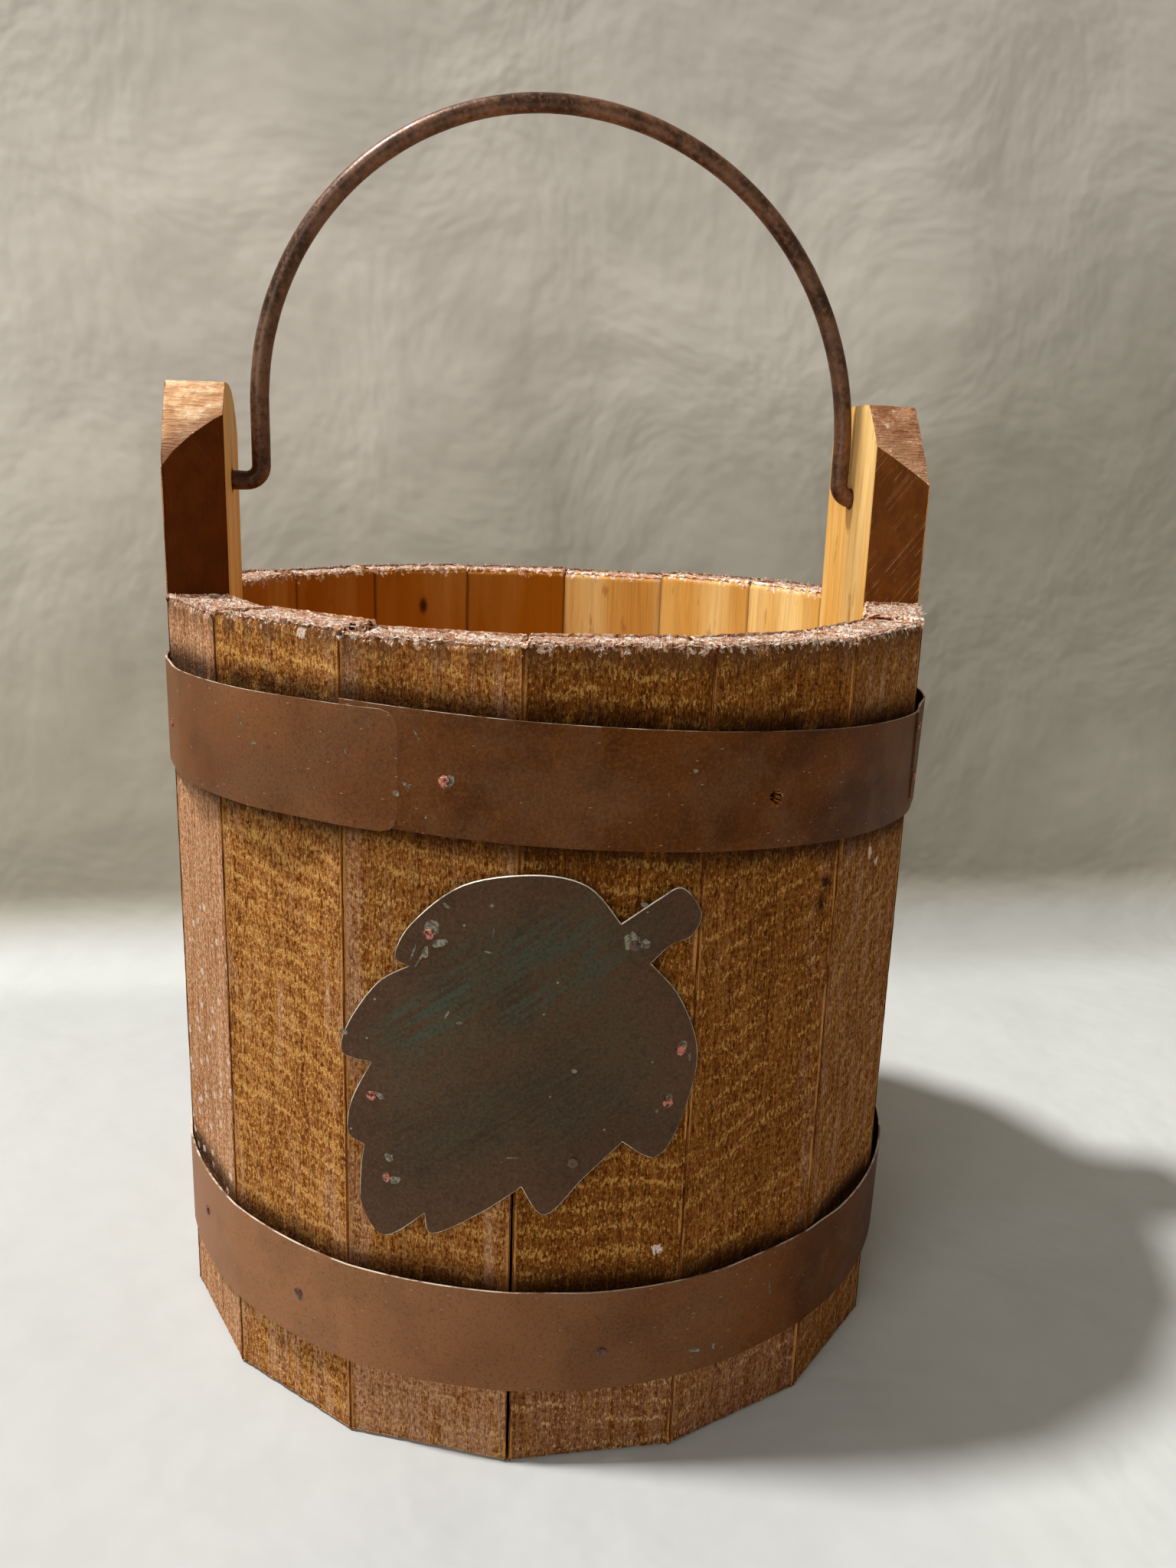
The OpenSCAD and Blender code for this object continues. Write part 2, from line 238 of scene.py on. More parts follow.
def cloud(tree, place, scale=1.0, detail=2.0, rough=0.5, warp=0.0):
    found = addNode(
        tree, "ShaderNodeTexNoise",
        {"Vector": place, "Scale": scale, "Detail": detail, "Roughness": rough, "Distortion": warp}
    )
    return found.outputs["Fac"]


def stretched(tree, place, across, along, seed=0.0):
    # place in metres; marks come out about `across` wide and `along` high, in metres
    scaled = addNode(
        tree, "ShaderNodeVectorMath", {0: place, 1: (1 / across, 1 / across, 1 / along)},
        operation="MULTIPLY"
    )
    moved = addNode(tree, "ShaderNodeVectorMath", {0: scaled.outputs[0]}, operation="ADD")
    if isinstance(seed, bpy.types.NodeSocket):
        tree.links.new(seed, moved.inputs[1])
    else:
        moved.inputs[1].default_value = (seed, seed, seed)
    return moved.outputs[0]


def newGroup(name, inputs, outputs):
    group = bpy.data.node_groups.new(name, "ShaderNodeTree")
    for socketName, kind, value in inputs:
        socket = group.interface.new_socket(socketName, in_out="INPUT", socket_type=kind)
        if value is not None:
            socket.default_value = value
    for socketName, kind in outputs:
        group.interface.new_socket(socketName, in_out="OUTPUT", socket_type=kind)
    start = group.nodes.new("NodeGroupInput")
    end = group.nodes.new("NodeGroupOutput")
    return group, start, end


def placeGroup(tree, group, inputs):
    placed = tree.nodes.new("ShaderNodeGroup")
    placed.node_tree = group
    for name, value in inputs.items():
        if isinstance(value, bpy.types.NodeSocket):
            tree.links.new(value, placed.inputs[name])
        else:
            placed.inputs[name].default_value = value
    return placed


def newMaterial(name):
    material = bpy.data.materials.new(name)
    material.use_nodes = True
    tree = material.node_tree
    tree.nodes.clear()
    shader = tree.nodes.new("ShaderNodeBsdfPrincipled")
    end = tree.nodes.new("ShaderNodeOutputMaterial")
    tree.links.new(shader.outputs[0], end.inputs[0])
    return material, tree, shader


def relief(tree, shader, height, distance, strength=1.0):
    bump = addNode(tree, "ShaderNodeBump", {"Height": height, "Distance": distance, "Strength": strength})
    tree.links.new(bump.outputs[0], shader.inputs["Normal"])


def named(tree, name, output="Fac"):
    return addNode(tree, "ShaderNodeAttribute", attribute_name=name).outputs[output]


# Shared effects

def makeSpecks():
    group, start, end = newGroup(
        "specks",
        [("Place", "NodeSocketVector", None), ("Size", "NodeSocketFloat", 0.002),
         ("Share", "NodeSocketFloat", 0.1)],
        [("Specks", "NodeSocketFloat")]
    )
    scale = calc(group, "DIVIDE", 1.0, start.outputs["Size"])
    cells = addNode(
        group, "ShaderNodeTexVoronoi", {"Vector": start.outputs["Place"], "Scale": scale, "Randomness": 1.0}
    )
    dots = window(group, cells.outputs["Distance"], 0.34, 0.2)
    chosen = addNode(group, "ShaderNodeSeparateColor", {0: cells.outputs["Color"]}).outputs[0]
    kept = calc(group, "LESS_THAN", chosen, start.outputs["Share"])
    group.links.new(calc(group, "MULTIPLY", dots, kept), end.inputs["Specks"])
    return group


def makeScratches():
    group, start, end = newGroup(
        "scratches",
        [("Place", "NodeSocketVector", None), ("Spacing", "NodeSocketFloat", 0.02),
         ("Width", "NodeSocketFloat", 0.02), ("Share", "NodeSocketFloat", 0.3)],
        [("Scratches", "NodeSocketFloat")]
    )
    scale = calc(group, "DIVIDE", 1.0, start.outputs["Spacing"])
    warped = addNode(
        group, "ShaderNodeTexVoronoi",
        {"Vector": start.outputs["Place"], "Scale": scale, "Randomness": 1.0},
        feature="DISTANCE_TO_EDGE"
    )
    line = calc(group, "LESS_THAN", warped.outputs["Distance"], start.outputs["Width"])
    gate = cloud(group, start.outputs["Place"], calc(group, "MULTIPLY", scale, 1.7), 3)
    shown = window(group, gate, calc(group, "SUBTRACT", 0.75, calc(group, "MULTIPLY", start.outputs["Share"], 0.3)), 0.78)
    group.links.new(calc(group, "MULTIPLY", line, shown), end.inputs["Scratches"])
    return group


def makeFibres():
    # Short dark and light dashes along the grain, as a saw leaves them
    group, start, end = newGroup(
        "fibres",
        [("Place", "NodeSocketVector", None), ("Seed", "NodeSocketFloat", 0.0),
         ("Width", "NodeSocketFloat", 0.0004), ("Length", "NodeSocketFloat", 0.003)],
        [("Fibre", "NodeSocketFloat"), ("Streak", "NodeSocketFloat")]
    )
    place = start.outputs["Place"]
    thin = calc(group, "DIVIDE", 1.0, start.outputs["Width"])
    tall = calc(group, "DIVIDE", 1.0, start.outputs["Length"])
    factors = addNode(group, "ShaderNodeCombineXYZ", {0: thin, 1: thin, 2: tall}).outputs[0]
    scaled = addNode(group, "ShaderNodeVectorMath", {0: place, 1: factors}, operation="MULTIPLY")
    offset = calc(group, "MULTIPLY", start.outputs["Seed"], 17.3)
    offsets = addNode(group, "ShaderNodeCombineXYZ", {0: offset, 1: offset, 2: offset}).outputs[0]
    moved = addNode(group, "ShaderNodeVectorMath", {0: scaled.outputs[0], 1: offsets}, operation="ADD")
    group.links.new(cloud(group, moved.outputs[0], 1.0, 2.5, 0.55), end.inputs["Fibre"])
    slow = addNode(
        group, "ShaderNodeVectorMath", {0: moved.outputs[0], 1: (0.25, 0.25, 0.05)}, operation="MULTIPLY"
    )
    group.links.new(cloud(group, slow.outputs[0], 1.0, 3, 0.6), end.inputs["Streak"])
    return group


def makeSawRows():
    # Rows that a saw's teeth leave across the grain, tilted and broken up
    group, start, end = newGroup(
        "sawRows",
        [("Place", "NodeSocketVector", None), ("Seed", "NodeSocketFloat", 0.0),
         ("Spacing", "NodeSocketFloat", 0.006), ("Tilt", "NodeSocketFloat", 0.1)],
        [("Rows", "NodeSocketFloat")]
    )
    parts = addNode(group, "ShaderNodeSeparateXYZ", {0: start.outputs["Place"]})
    seed = calc(group, "MULTIPLY", start.outputs["Seed"], 5.1)
    offsets = addNode(group, "ShaderNodeCombineXYZ", {0: seed, 1: seed, 2: seed}).outputs[0]
    moved = addNode(group, "ShaderNodeVectorMath", {0: start.outputs["Place"], 1: offsets}, operation="ADD")
    drift = cloud(group, moved.outputs[0], 55.0, 3, 0.6)
    tilted = calc(group, "MULTIPLY_ADD", parts.outputs[1], start.outputs["Tilt"], parts.outputs[2])
    wandering = calc(group, "MULTIPLY_ADD", drift, 0.012, tilted)
    turns = calc(group, "DIVIDE", wandering, start.outputs["Spacing"])
    wave = calc(group, "SINE", calc(group, "MULTIPLY", turns, 2 * math.pi))
    patches = cloud(group, moved.outputs[0], 70.0, 2, 0.5)
    raised = window(group, wave, -0.2, 1.0)
    strength = window(group, patches, 0.3, 0.6)
    group.links.new(calc(group, "MULTIPLY", raised, strength), end.inputs["Rows"])
    return group


crumbLook = {
    "pink": colour(204, 154, 126),
    "tan": colour(214, 164, 124),
    "pale": colour(252, 236, 220),
    "shadedPit": colour(112, 62, 38),
    "size": 0.0017,
}


def makeCrumbs():
    # Torn end grain: pink and tan, with pale crumbs on the raised grains, partly their own colour and partly painted
    # highlight, and dark pits in the hollows as painted shade
    look = crumbLook
    group, start, end = newGroup(
        "crumbs",
        [("Place", "NodeSocketVector", None), ("Seed", "NodeSocketFloat", 0.0)],
        [("Colour", "NodeSocketColor"), ("Height", "NodeSocketFloat")]
    )
    place = start.outputs["Place"]
    seed = start.outputs["Seed"]
    crumbs = cloud(group, stretched(group, place, look["size"], look["size"], seed), 1.0, 4, 0.7)
    patches = cloud(group, stretched(group, place, 0.009, 0.009, seed), 1.0, 2)
    base = blendColour(group, window(group, patches, 0.35, 0.65), look["pink"], look["tan"])
    # Painted highlight on the high crumbs and painted shade in the low pits, both following the crumbs' height
    pale = calc(group, "MULTIPLY_ADD", calc(group, "SUBTRACT", patches, 0.5), 0.3, crumbs)
    base = blendColour(group, window(group, pale, 0.49, 0.56), base, look["pale"])
    base = blendColour(group, window(group, crumbs, 0.42, 0.34), base, look["shadedPit"])
    group.links.new(base, end.inputs["Colour"])
    group.links.new(crumbs, end.inputs["Height"])
    return group


specks = makeSpecks()
scratches = makeScratches()
fibres = makeFibres()
sawRows = makeSawRows()
crumbling = makeCrumbs()


# Wood materials; staves carry their own place on the board and their number

outerWoodLook = {
    "fresh": [colour(102, 48, 6), colour(172, 104, 42), colour(220, 154, 88)],
    "stained": [colour(78, 34, 2), colour(120, 66, 13), colour(148, 90, 29)],
    "freshRubbed": [colour(146, 84, 46), colour(204, 147, 104), colour(240, 194, 154)],
    "stainedRubbed": [colour(98, 52, 24), colour(136, 82, 46), colour(162, 106, 66)],
    "freshFleck": colour(236, 174, 96),
    "stainedFleck": colour(206, 150, 72),
    "rubbedFleck": colour(230, 184, 138),
    "rim": colour(104, 66, 40),
    # colour of the painted shade along the hoop edges
    "hoopEdgeShade": colour(44, 16, 0),
    "notch": colour(52, 20, 0),
    "chip": colour(240, 214, 196),
    "arris": colour(214, 148, 78),
    "arrisShade": colour(96, 40, 4),
    "grainWidth": 0.00042,
    "grainLength": 0.0021,
    "fleckWidth": 0.0008,
    "fleckLength": 0.0017,
    "rowSpacing": 0.0075,
}


def rampOf(tree, value, tones, stops):
    ramp = addNode(tree, "ShaderNodeValToRGB", {0: value})
    while len(ramp.color_ramp.elements) < len(tones):
        ramp.color_ramp.elements.new(0.5)
    for element, tone, stop in zip(ramp.color_ramp.elements, tones, stops):
        element.position = stop
        element.color = tone
    return ramp.outputs[0]


def tornEdge(tree, board, number):
    # 1 in a ragged band along the top edge of a stave
    ragged = cloud(tree, stretched(tree, board, 0.0022, 0.003, number), 1.0, 3, 0.65)
    down = calc(tree, "MULTIPLY_ADD", calc(tree, "SUBTRACT", 0.5, ragged), 0.014, named(tree, "fromTop"))
    return window(tree, down, 0.0021, 0.0014)


def placeCrumbs(tree, board, number, output="Colour"):
    return placeGroup(tree, crumbling, {"Place": board, "Seed": number}).outputs[output]


def makeOuterWood():
    look = outerWoodLook
    material, tree, shader = newMaterial("sawnStainedWood")
    board = named(tree, "boardPlace", "Vector")
    number = named(tree, "staveNumber")
    stain = named(tree, "stain")
    parts = addNode(tree, "ShaderNodeSeparateXYZ", {0: board})
    grain = placeGroup(
        tree, fibres,
        {"Place": board, "Seed": number, "Width": look["grainWidth"], "Length": look["grainLength"]}
    )
    mottle = cloud(tree, stretched(tree, board, 0.0015, 0.0013, number), 1.0, 2, 0.6)
    streak = calc(tree, "SUBTRACT", grain.outputs["Streak"], 0.5)
    level = calc(tree, "MULTIPLY_ADD", streak, 0.35, blendValue(tree, 0.45, grain.outputs["Fibre"], mottle))
    stops = (0.37, 0.5, 0.63)
    fresh = rampOf(tree, level, look["fresh"], stops)
    stained = rampOf(tree, level, look["stained"], stops)
    freshRubbed = rampOf(tree, level, look["freshRubbed"], stops)
    stainedRubbed = rampOf(tree, level, look["stainedRubbed"], stops)

    wander = cloud(tree, stretched(tree, board, 0.005, 0.03, number), 1.0, 4, 0.6)
    rubShare = calc(tree, "ADD", named(tree, "rubbed"), calc(tree, "MULTIPLY_ADD", wander, 2.0, -1.0))
    rub = window(tree, rubShare, 0.2, 0.75)
    base = blendColour(tree, stain, fresh, stained)
    base = blendColour(tree, rub, base, blendColour(tree, stain, freshRubbed, stainedRubbed))

    # Gold flecks where the saw's teeth tore the stained skin, thicker along the rows
    rows = placeGroup(
        tree, sawRows,
        {"Place": board, "Seed": number, "Spacing": look["rowSpacing"], "Tilt": named(tree, "sawTilt")}
    )
    fleckPlace = stretched(tree, board, look["fleckWidth"], look["fleckLength"], number)
    torn = cloud(tree, fleckPlace, 1.0, 2.5, 0.6, 0.2)
    inRow = calc(tree, "MULTIPLY", rows.outputs["Rows"], named(tree, "sawnRows"))
    bar = calc(tree, "MULTIPLY_ADD", inRow, -0.13, 0.64)
    bar = calc(tree, "MULTIPLY_ADD", named(tree, "gold"), -0.1, bar)
    bar = calc(tree, "MULTIPLY_ADD", rub, 0.03, bar)
    fleck = window(tree, calc(tree, "SUBTRACT", torn, bar), 0.0, 0.025)
    gold = blendColour(tree, stain, look["freshFleck"], look["stainedFleck"])
    gold = blendColour(tree, calc(tree, "MULTIPLY", rub, 0.7), gold, look["rubbedFleck"])
    gold = blendColour(tree, calc(tree, "MULTIPLY", window(tree, level, 0.5, 0.34), 0.6), gold, base)
    base = blendColour(tree, calc(tree, "MULTIPLY", fleck, 0.85), base, gold)
    # Painted shade: dark notches where the weave is low, the same weave that lowers the bump, fewer on rubbed wood
    weave = cloud(tree, stretched(tree, board, 0.0008, 0.0013, number), 1.0, 3, 0.6)
    notch = calc(tree, "MULTIPLY", window(tree, weave, 0.42, 0.32), calc(tree, "MULTIPLY_ADD", rub, -0.3, 0.6))
    base = blendColour(tree, notch, base, look["notch"])

    across = calc(tree, "ABSOLUTE", parts.outputs[1])
    edge = calc(tree, "MULTIPLY_ADD", calc(tree, "SUBTRACT", wander, 0.5), 0.0016, across)
    shade = calc(tree, "MULTIPLY", window(tree, edge, 0.023, 0.0238), window(tree, edge, 0.0245, 0.0238))
    base = blendColour(tree, calc(tree, "MULTIPLY", shade, 0.2), base, look["arrisShade"])
    arris = window(tree, edge, 0.0241, 0.0246)
    arrisGate = window(tree, cloud(tree, stretched(tree, board, 0.01, 0.02, number), 1.0, 3), 0.4, 0.53)
    base = blendColour(tree, calc(tree, "MULTIPLY", arris, arrisGate), base, look["arris"])
    # Dark knots, with painted shade for the nail hole behind the torn hoop hole
    knot = calc(tree, "MULTIPLY", window(tree, named(tree, "outerKnotAndHoleShade"), 0.1, 0.8), 0.9)
    base = blendColour(tree, knot, base, look["notch"])

    # Painted shade: darker on the staves along the hoops' edges, broken up by the wander noise
    hoopEdgeShade = calc(tree, "MULTIPLY", named(tree, "hoopEdgeShade"), window(tree, wander, 0.15, 0.5))
    base = blendColour(tree, calc(tree, "MULTIPLY", hoopEdgeShade, 0.85), base, look["hoopEdgeShade"])
    rimStain = calc(tree, "MULTIPLY", named(tree, "rimStain"), window(tree, wander, 0.34, 0.56))
    base = blendColour(tree, calc(tree, "MULTIPLY", rimStain, 0.75), base, look["rim"])
    long = addNode(tree, "ShaderNodeMapping", {"Vector": board, "Scale": (1, 0.5, 0.6)}).outputs[0]
    dots = placeGroup(tree, specks, {"Place": long, "Size": 0.0028, "Share": named(tree, "chips")})
    base = blendColour(tree, calc(tree, "MULTIPLY", dots.outputs["Specks"], 0.85), base, look["chip"])
    chip = calc(tree, "MULTIPLY_ADD", calc(tree, "SUBTRACT", weave, 0.5), 1.5, named(tree, "outerChip"))
    base = blendColour(tree, window(tree, chip, 0.35, 0.5), base, look["chip"])
    base = blendColour(tree, tornEdge(tree, board, number), base, placeCrumbs(tree, board, number))

    tree.links.new(base, shader.inputs["Base Color"])
    shader.inputs["Roughness"].default_value = 0.85
    shader.inputs["Specular IOR Level"].default_value = 0.05
    height = calc(tree, "MULTIPLY_ADD", fleck, 0.25, level)
    height = calc(tree, "MULTIPLY_ADD", weave, 1.2, height)
    relief(tree, shader, height, 0.0015, 1.0)
    return material


innerWoodLook = {
    "pale": colour(250, 212, 138),
    "body": colour(240, 184, 94),
    # painted shade: the darker amber of the shaded inner faces
    "amberShade": colour(170, 100, 0),
    "late": colour(158, 88, 18),
    "knot": colour(70, 30, 4),
}


def makeInnerWood():
    look = innerWoodLook
    material, tree, shader = newMaterial("planedPine")
    board = named(tree, "boardPlace", "Vector")
    number = named(tree, "staveNumber")
    parts = addNode(tree, "ShaderNodeSeparateXYZ", {0: board})
    slow = cloud(tree, stretched(tree, board, 0.018, 0.16, number), 1.0, 2, 0.5)
    rings = calc(tree, "MULTIPLY_ADD", slow, 0.03, parts.outputs[1])
    wave = calc(tree, "SINE", calc(tree, "MULTIPLY", rings, 2 * math.pi / 0.0075))
    late = window(tree, wave, 0.2, 1.0)
    grain = placeGroup(tree, fibres, {"Place": board, "Seed": number, "Width": 0.0006, "Length": 0.02})
    tone = window(tree, cloud(tree, stretched(tree, board, 0.02, 0.2, number), 1.0, 2), 0.35, 0.65)
    base = blendColour(tree, tone, look["pale"], look["body"])
    # Painted shade: the inner faces of the left back staves, which lie in shade, are painted darker amber, and their
    # seams darker too
    amberShade = calc(tree, "MULTIPLY_ADD", calc(tree, "SUBTRACT", tone, 0.5), 0.25, named(tree, "amberShade"))
    base = blendColour(tree, amberShade, base, look["amberShade"])
    base = blendColour(tree, calc(tree, "MULTIPLY", late, 0.16), base, look["late"])
    dark = window(tree, grain.outputs["Fibre"], 0.5, 0.34)
    base = blendColour(tree, calc(tree, "MULTIPLY", dark, 0.22), base, look["late"])
    resin = window(tree, cloud(tree, stretched(tree, board, 0.006, 0.02, number), 1.0, 3, 0.6), 0.62, 0.72)
    base = blendColour(tree, calc(tree, "MULTIPLY", resin, 0.5), base, look["late"])
    seam = window(tree, calc(tree, "ABSOLUTE", parts.outputs[1]), 0.0203, 0.0214)
    seam = calc(tree, "MULTIPLY", seam, calc(tree, "MULTIPLY_ADD", named(tree, "amberShade"), 0.3, 0.3))
    base = blendColour(tree, seam, base, look["knot"])
    base = blendColour(tree, window(tree, named(tree, "knot"), 0.2, 0.8), base, look["knot"])
    base = blendColour(tree, tornEdge(tree, board, number), base, placeCrumbs(tree, board, number))
    tree.links.new(base, shader.inputs["Base Color"])
    shader.inputs["Roughness"].default_value = 0.6
    shader.inputs["Specular IOR Level"].default_value = 0.12
    relief(tree, shader, calc(tree, "MULTIPLY_ADD", late, -0.3, grain.outputs["Fibre"]), 0.0002, 0.5)
    return material


def makeEndWood():
    material, tree, shader = newMaterial("tornEndGrain")
    board = named(tree, "boardPlace", "Vector")
    number = named(tree, "staveNumber")
    tree.links.new(placeCrumbs(tree, board, number), shader.inputs["Base Color"])
    shader.inputs["Roughness"].default_value = 0.95
    shader.inputs["Specular IOR Level"].default_value = 0.1
    fine = cloud(tree, stretched(tree, board, 0.0006, 0.0006, number), 1.0, 2, 0.5)
    height = calc(tree, "MULTIPLY_ADD", fine, 0.4, placeCrumbs(tree, board, number, "Height"))
    relief(tree, shader, height, 0.003, 1.0)
    return material


def makeSideWood():
    # Mitred faces, smooth from the saw and dark with stain, with slanting saw lines
    material, tree, shader = newMaterial("stainedMitre")
    board = named(tree, "boardPlace", "Vector")
    number = named(tree, "staveNumber")
    parts = addNode(tree, "ShaderNodeSeparateXYZ", {0: board})
    grain = placeGroup(tree, fibres, {"Place": board, "Seed": number, "Width": 0.0007, "Length": 0.012})
    slant = calc(tree, "MULTIPLY_ADD", parts.outputs[0], -1.4, parts.outputs[2])
    lines = cloud(
        tree, addNode(tree, "ShaderNodeCombineXYZ", {0: calc(tree, "MULTIPLY", slant, 900.0), 1: number, 2: 0.0}).outputs[0],
        1.0, 2, 0.6
    )
    shine = window(tree, lines, 0.54, 0.66)
    broken = window(tree, cloud(tree, stretched(tree, board, 0.008, 0.008, number), 1.0, 3, 0.6), 0.44, 0.6)
    shine = calc(tree, "MULTIPLY", shine, broken)
    sawn = named(tree, "sawLines")
    base = blendColour(tree, sawn, colour(84, 36, 2), colour(116, 66, 24))
    patchy = window(tree, cloud(tree, stretched(tree, board, 0.006, 0.009, number), 1.0, 4, 0.65), 0.38, 0.62)
    base = blendColour(tree, calc(tree, "MULTIPLY", patchy, 0.6), base, blendColour(tree, sawn, colour(68, 27, 1), colour(92, 48, 16)))
    base = blendColour(tree, calc(tree, "MULTIPLY", shine, calc(tree, "MULTIPLY", sawn, 0.75)), base, colour(200, 150, 108))
    base = blendColour(tree, tornEdge(tree, board, number), base, placeCrumbs(tree, board, number))
    tree.links.new(base, shader.inputs["Base Color"])
    shader.inputs["Roughness"].default_value = 0.75
    shader.inputs["Specular IOR Level"].default_value = 0.06
    relief(tree, shader, calc(tree, "MULTIPLY_ADD", shine, 0.3, grain.outputs["Fibre"]), 0.0003, 0.5)
    return material


def makeCutWood():
    # The sawn corners of the ears: end grain, rubbed pale at the top
    material, tree, shader = newMaterial("sawnCorner")
    board = named(tree, "boardPlace", "Vector")
    number = named(tree, "staveNumber")
    parts = addNode(tree, "ShaderNodeSeparateXYZ", {0: board})
    patches = cloud(tree, stretched(tree, board, 0.007, 0.005, number), 1.0, 3, 0.6)
    lines = cloud(tree, stretched(tree, board, 0.006, 0.0006, number), 1.0, 2, 0.6)
    sawn = named(tree, "sawLines")
    warm = blendColour(tree, sawn, colour(200, 150, 106), colour(146, 96, 66))
    pale = blendColour(tree, sawn, colour(236, 196, 152), colour(182, 132, 96))
    base = blendColour(tree, window(tree, patches, 0.4, 0.62), warm, pale)
    low = named(tree, "lowOnCut")
    lowTone = blendColour(tree, sawn, colour(112, 74, 56), colour(192, 144, 108))
    base = blendColour(tree, calc(tree, "MULTIPLY", low, 0.85), base, lowTone)
    base = blendColour(tree, calc(tree, "MULTIPLY", window(tree, lines, 0.5, 0.36), 0.4), base, colour(112, 68, 40))
    crumbs = cloud(tree, stretched(tree, board, 0.0016, 0.0012, number), 1.0, 3, 0.6)
    worn = calc(tree, "MULTIPLY", window(tree, crumbs, 0.58, 0.66), window(tree, patches, 0.5, 0.6))
    base = blendColour(tree, calc(tree, "MULTIPLY", worn, 0.8), base, colour(244, 222, 204))
    tree.links.new(base, shader.inputs["Base Color"])
    shader.inputs["Roughness"].default_value = 0.85
    shader.inputs["Specular IOR Level"].default_value = 0.1
    relief(tree, shader, calc(tree, "MULTIPLY_ADD", crumbs, 0.8, lines), 0.0007, 0.8)
    return material


def makeBoardWood():
    material, tree, shader = newMaterial("bottomPine")
    place = addNode(tree, "ShaderNodeTexCoord").outputs["Object"]
    turned = addNode(tree, "ShaderNodeMapping", {"Vector": place, "Rotation": (0, math.pi / 2, 0.3)}).outputs[0]
    slow = cloud(tree, stretched(tree, turned, 0.03, 0.3, 4.0), 1.0, 2)
    parts = addNode(tree, "ShaderNodeSeparateXYZ", {0: turned})
    rings = calc(tree, "MULTIPLY_ADD", slow, 0.03, parts.outputs[1])
    late = window(tree, calc(tree, "SINE", calc(tree, "MULTIPLY", rings, 2 * math.pi / 0.008)), 0.2, 1.0)
    grain = placeGroup(tree, fibres, {"Place": turned, "Seed": 3.0, "Width": 0.0008, "Length": 0.03})
    base = blendColour(tree, calc(tree, "MULTIPLY", late, 0.45), colour(212, 160, 92), colour(160, 100, 44))
    base = blendColour(tree, calc(tree, "MULTIPLY", window(tree, grain.outputs["Streak"], 0.4, 0.7), 0.4), base, colour(140, 92, 50))
    tree.links.new(base, shader.inputs["Base Color"])
    shader.inputs["Roughness"].default_value = 0.65
    relief(tree, shader, grain.outputs["Fibre"], 0.0004, 0.6)
    return material


outerWood = makeOuterWood()
innerWood = makeInnerWood()
endWood = makeEndWood()
sideWood = makeSideWood()
cutWood = makeCutWood()
boardWood = makeBoardWood()
print("wood materials made")


# Metal materials

hoopLook = {
    "brown": colour(96, 49, 3),
    "dark": colour(70, 34, 1),
    # colour of the painted sheen on the left of the hoops
    "leftSheen": colour(148, 102, 68),
    "grit": colour(48, 20, 0),
    "dust": colour(138, 88, 40),
    "haze": colour(112, 78, 50),
    "scuff": colour(186, 158, 132),
}


def makeHoopSteel():
    look = hoopLook
    material, tree, shader = newMaterial("brownedSteel")
    place = addNode(tree, "ShaderNodeTexCoord").outputs["Object"]
    mottle = cloud(tree, place, 1100.0, 3, 0.75)
    blotch = cloud(tree, place, 26.0, 5, 0.6, 0.4)
    base = blendColour(tree, window(tree, blotch, 0.38, 0.62), look["brown"], look["dark"])
    # Painted sheen: the hoops are painted lighter and rosier on the left, towards the lamps
    drift = calc(tree, "SUBTRACT", cloud(tree, place, 16.0, 3, 0.5), 0.5)
    leftSheen = calc(tree, "MULTIPLY_ADD", drift, 0.9, named(tree, "leftSheen"))
    base = blendColour(tree, window(tree, leftSheen, 0.0, 1.0), base, look["leftSheen"])
    haze = calc(tree, "MULTIPLY", window(tree, cloud(tree, place, 45.0, 4, 0.65), 0.46, 0.64), 0.35)
    base = blendColour(tree, haze, base, look["haze"])
    dusty = calc(tree, "MULTIPLY", window(tree, mottle, 0.5, 0.68), 0.3)
    base = blendColour(tree, dusty, base, look["dust"])
    base = blendColour(tree, calc(tree, "MULTIPLY", window(tree, mottle, 0.5, 0.34), 0.35), base, look["grit"])
    flat = addNode(tree, "ShaderNodeMapping", {"Vector": place, "Scale": (1, 1, 3)}).outputs[0]
    dots = placeGroup(tree, specks, {"Place": flat, "Size": 0.0018, "Share": 0.02})
    lines = placeGroup(tree, scratches, {"Place": place, "Spacing": 0.03, "Width": 0.005, "Share": 0.12})
    marks = calc(tree, "MAXIMUM", dots.outputs["Specks"], lines.outputs["Scratches"])
    base = blendColour(tree, calc(tree, "MULTIPLY", marks, 0.45), base, look["scuff"])
    tree.links.new(base, shader.inputs["Base Color"])
    shader.inputs["Specular IOR Level"].default_value = 0.1
    tree.links.new(blendValue(tree, window(tree, mottle, 0.3, 0.7), 0.42, 0.6), shader.inputs["Roughness"])
    relief(tree, shader, mottle, 0.00015, 0.3)
    return material


def makeBareSteel(name, dull, bright, metal):
    material, tree, shader = newMaterial(name)
    place = addNode(tree, "ShaderNodeTexCoord").outputs["Object"]
    worn = cloud(tree, place, 110.0, 4, 0.65)
    base = blendColour(tree, window(tree, worn, 0.4, 0.56), dull, bright)
    tree.links.new(base, shader.inputs["Base Color"])
    shader.inputs["Metallic"].default_value = metal
    shader.inputs["Roughness"].default_value = 0.45
    return material


leafLook = {
    "body": colour(78, 53, 29),
    "dark": colour(60, 41, 22),
    "olive": colour(67, 57, 38),
    "green": colour(54, 72, 58),
    "rust": colour(82, 50, 28),
    "grain": colour(98, 74, 50),
    "grit": colour(34, 22, 10),
    "slant": 38,  # degrees that the brushed streaks rise to the right
}


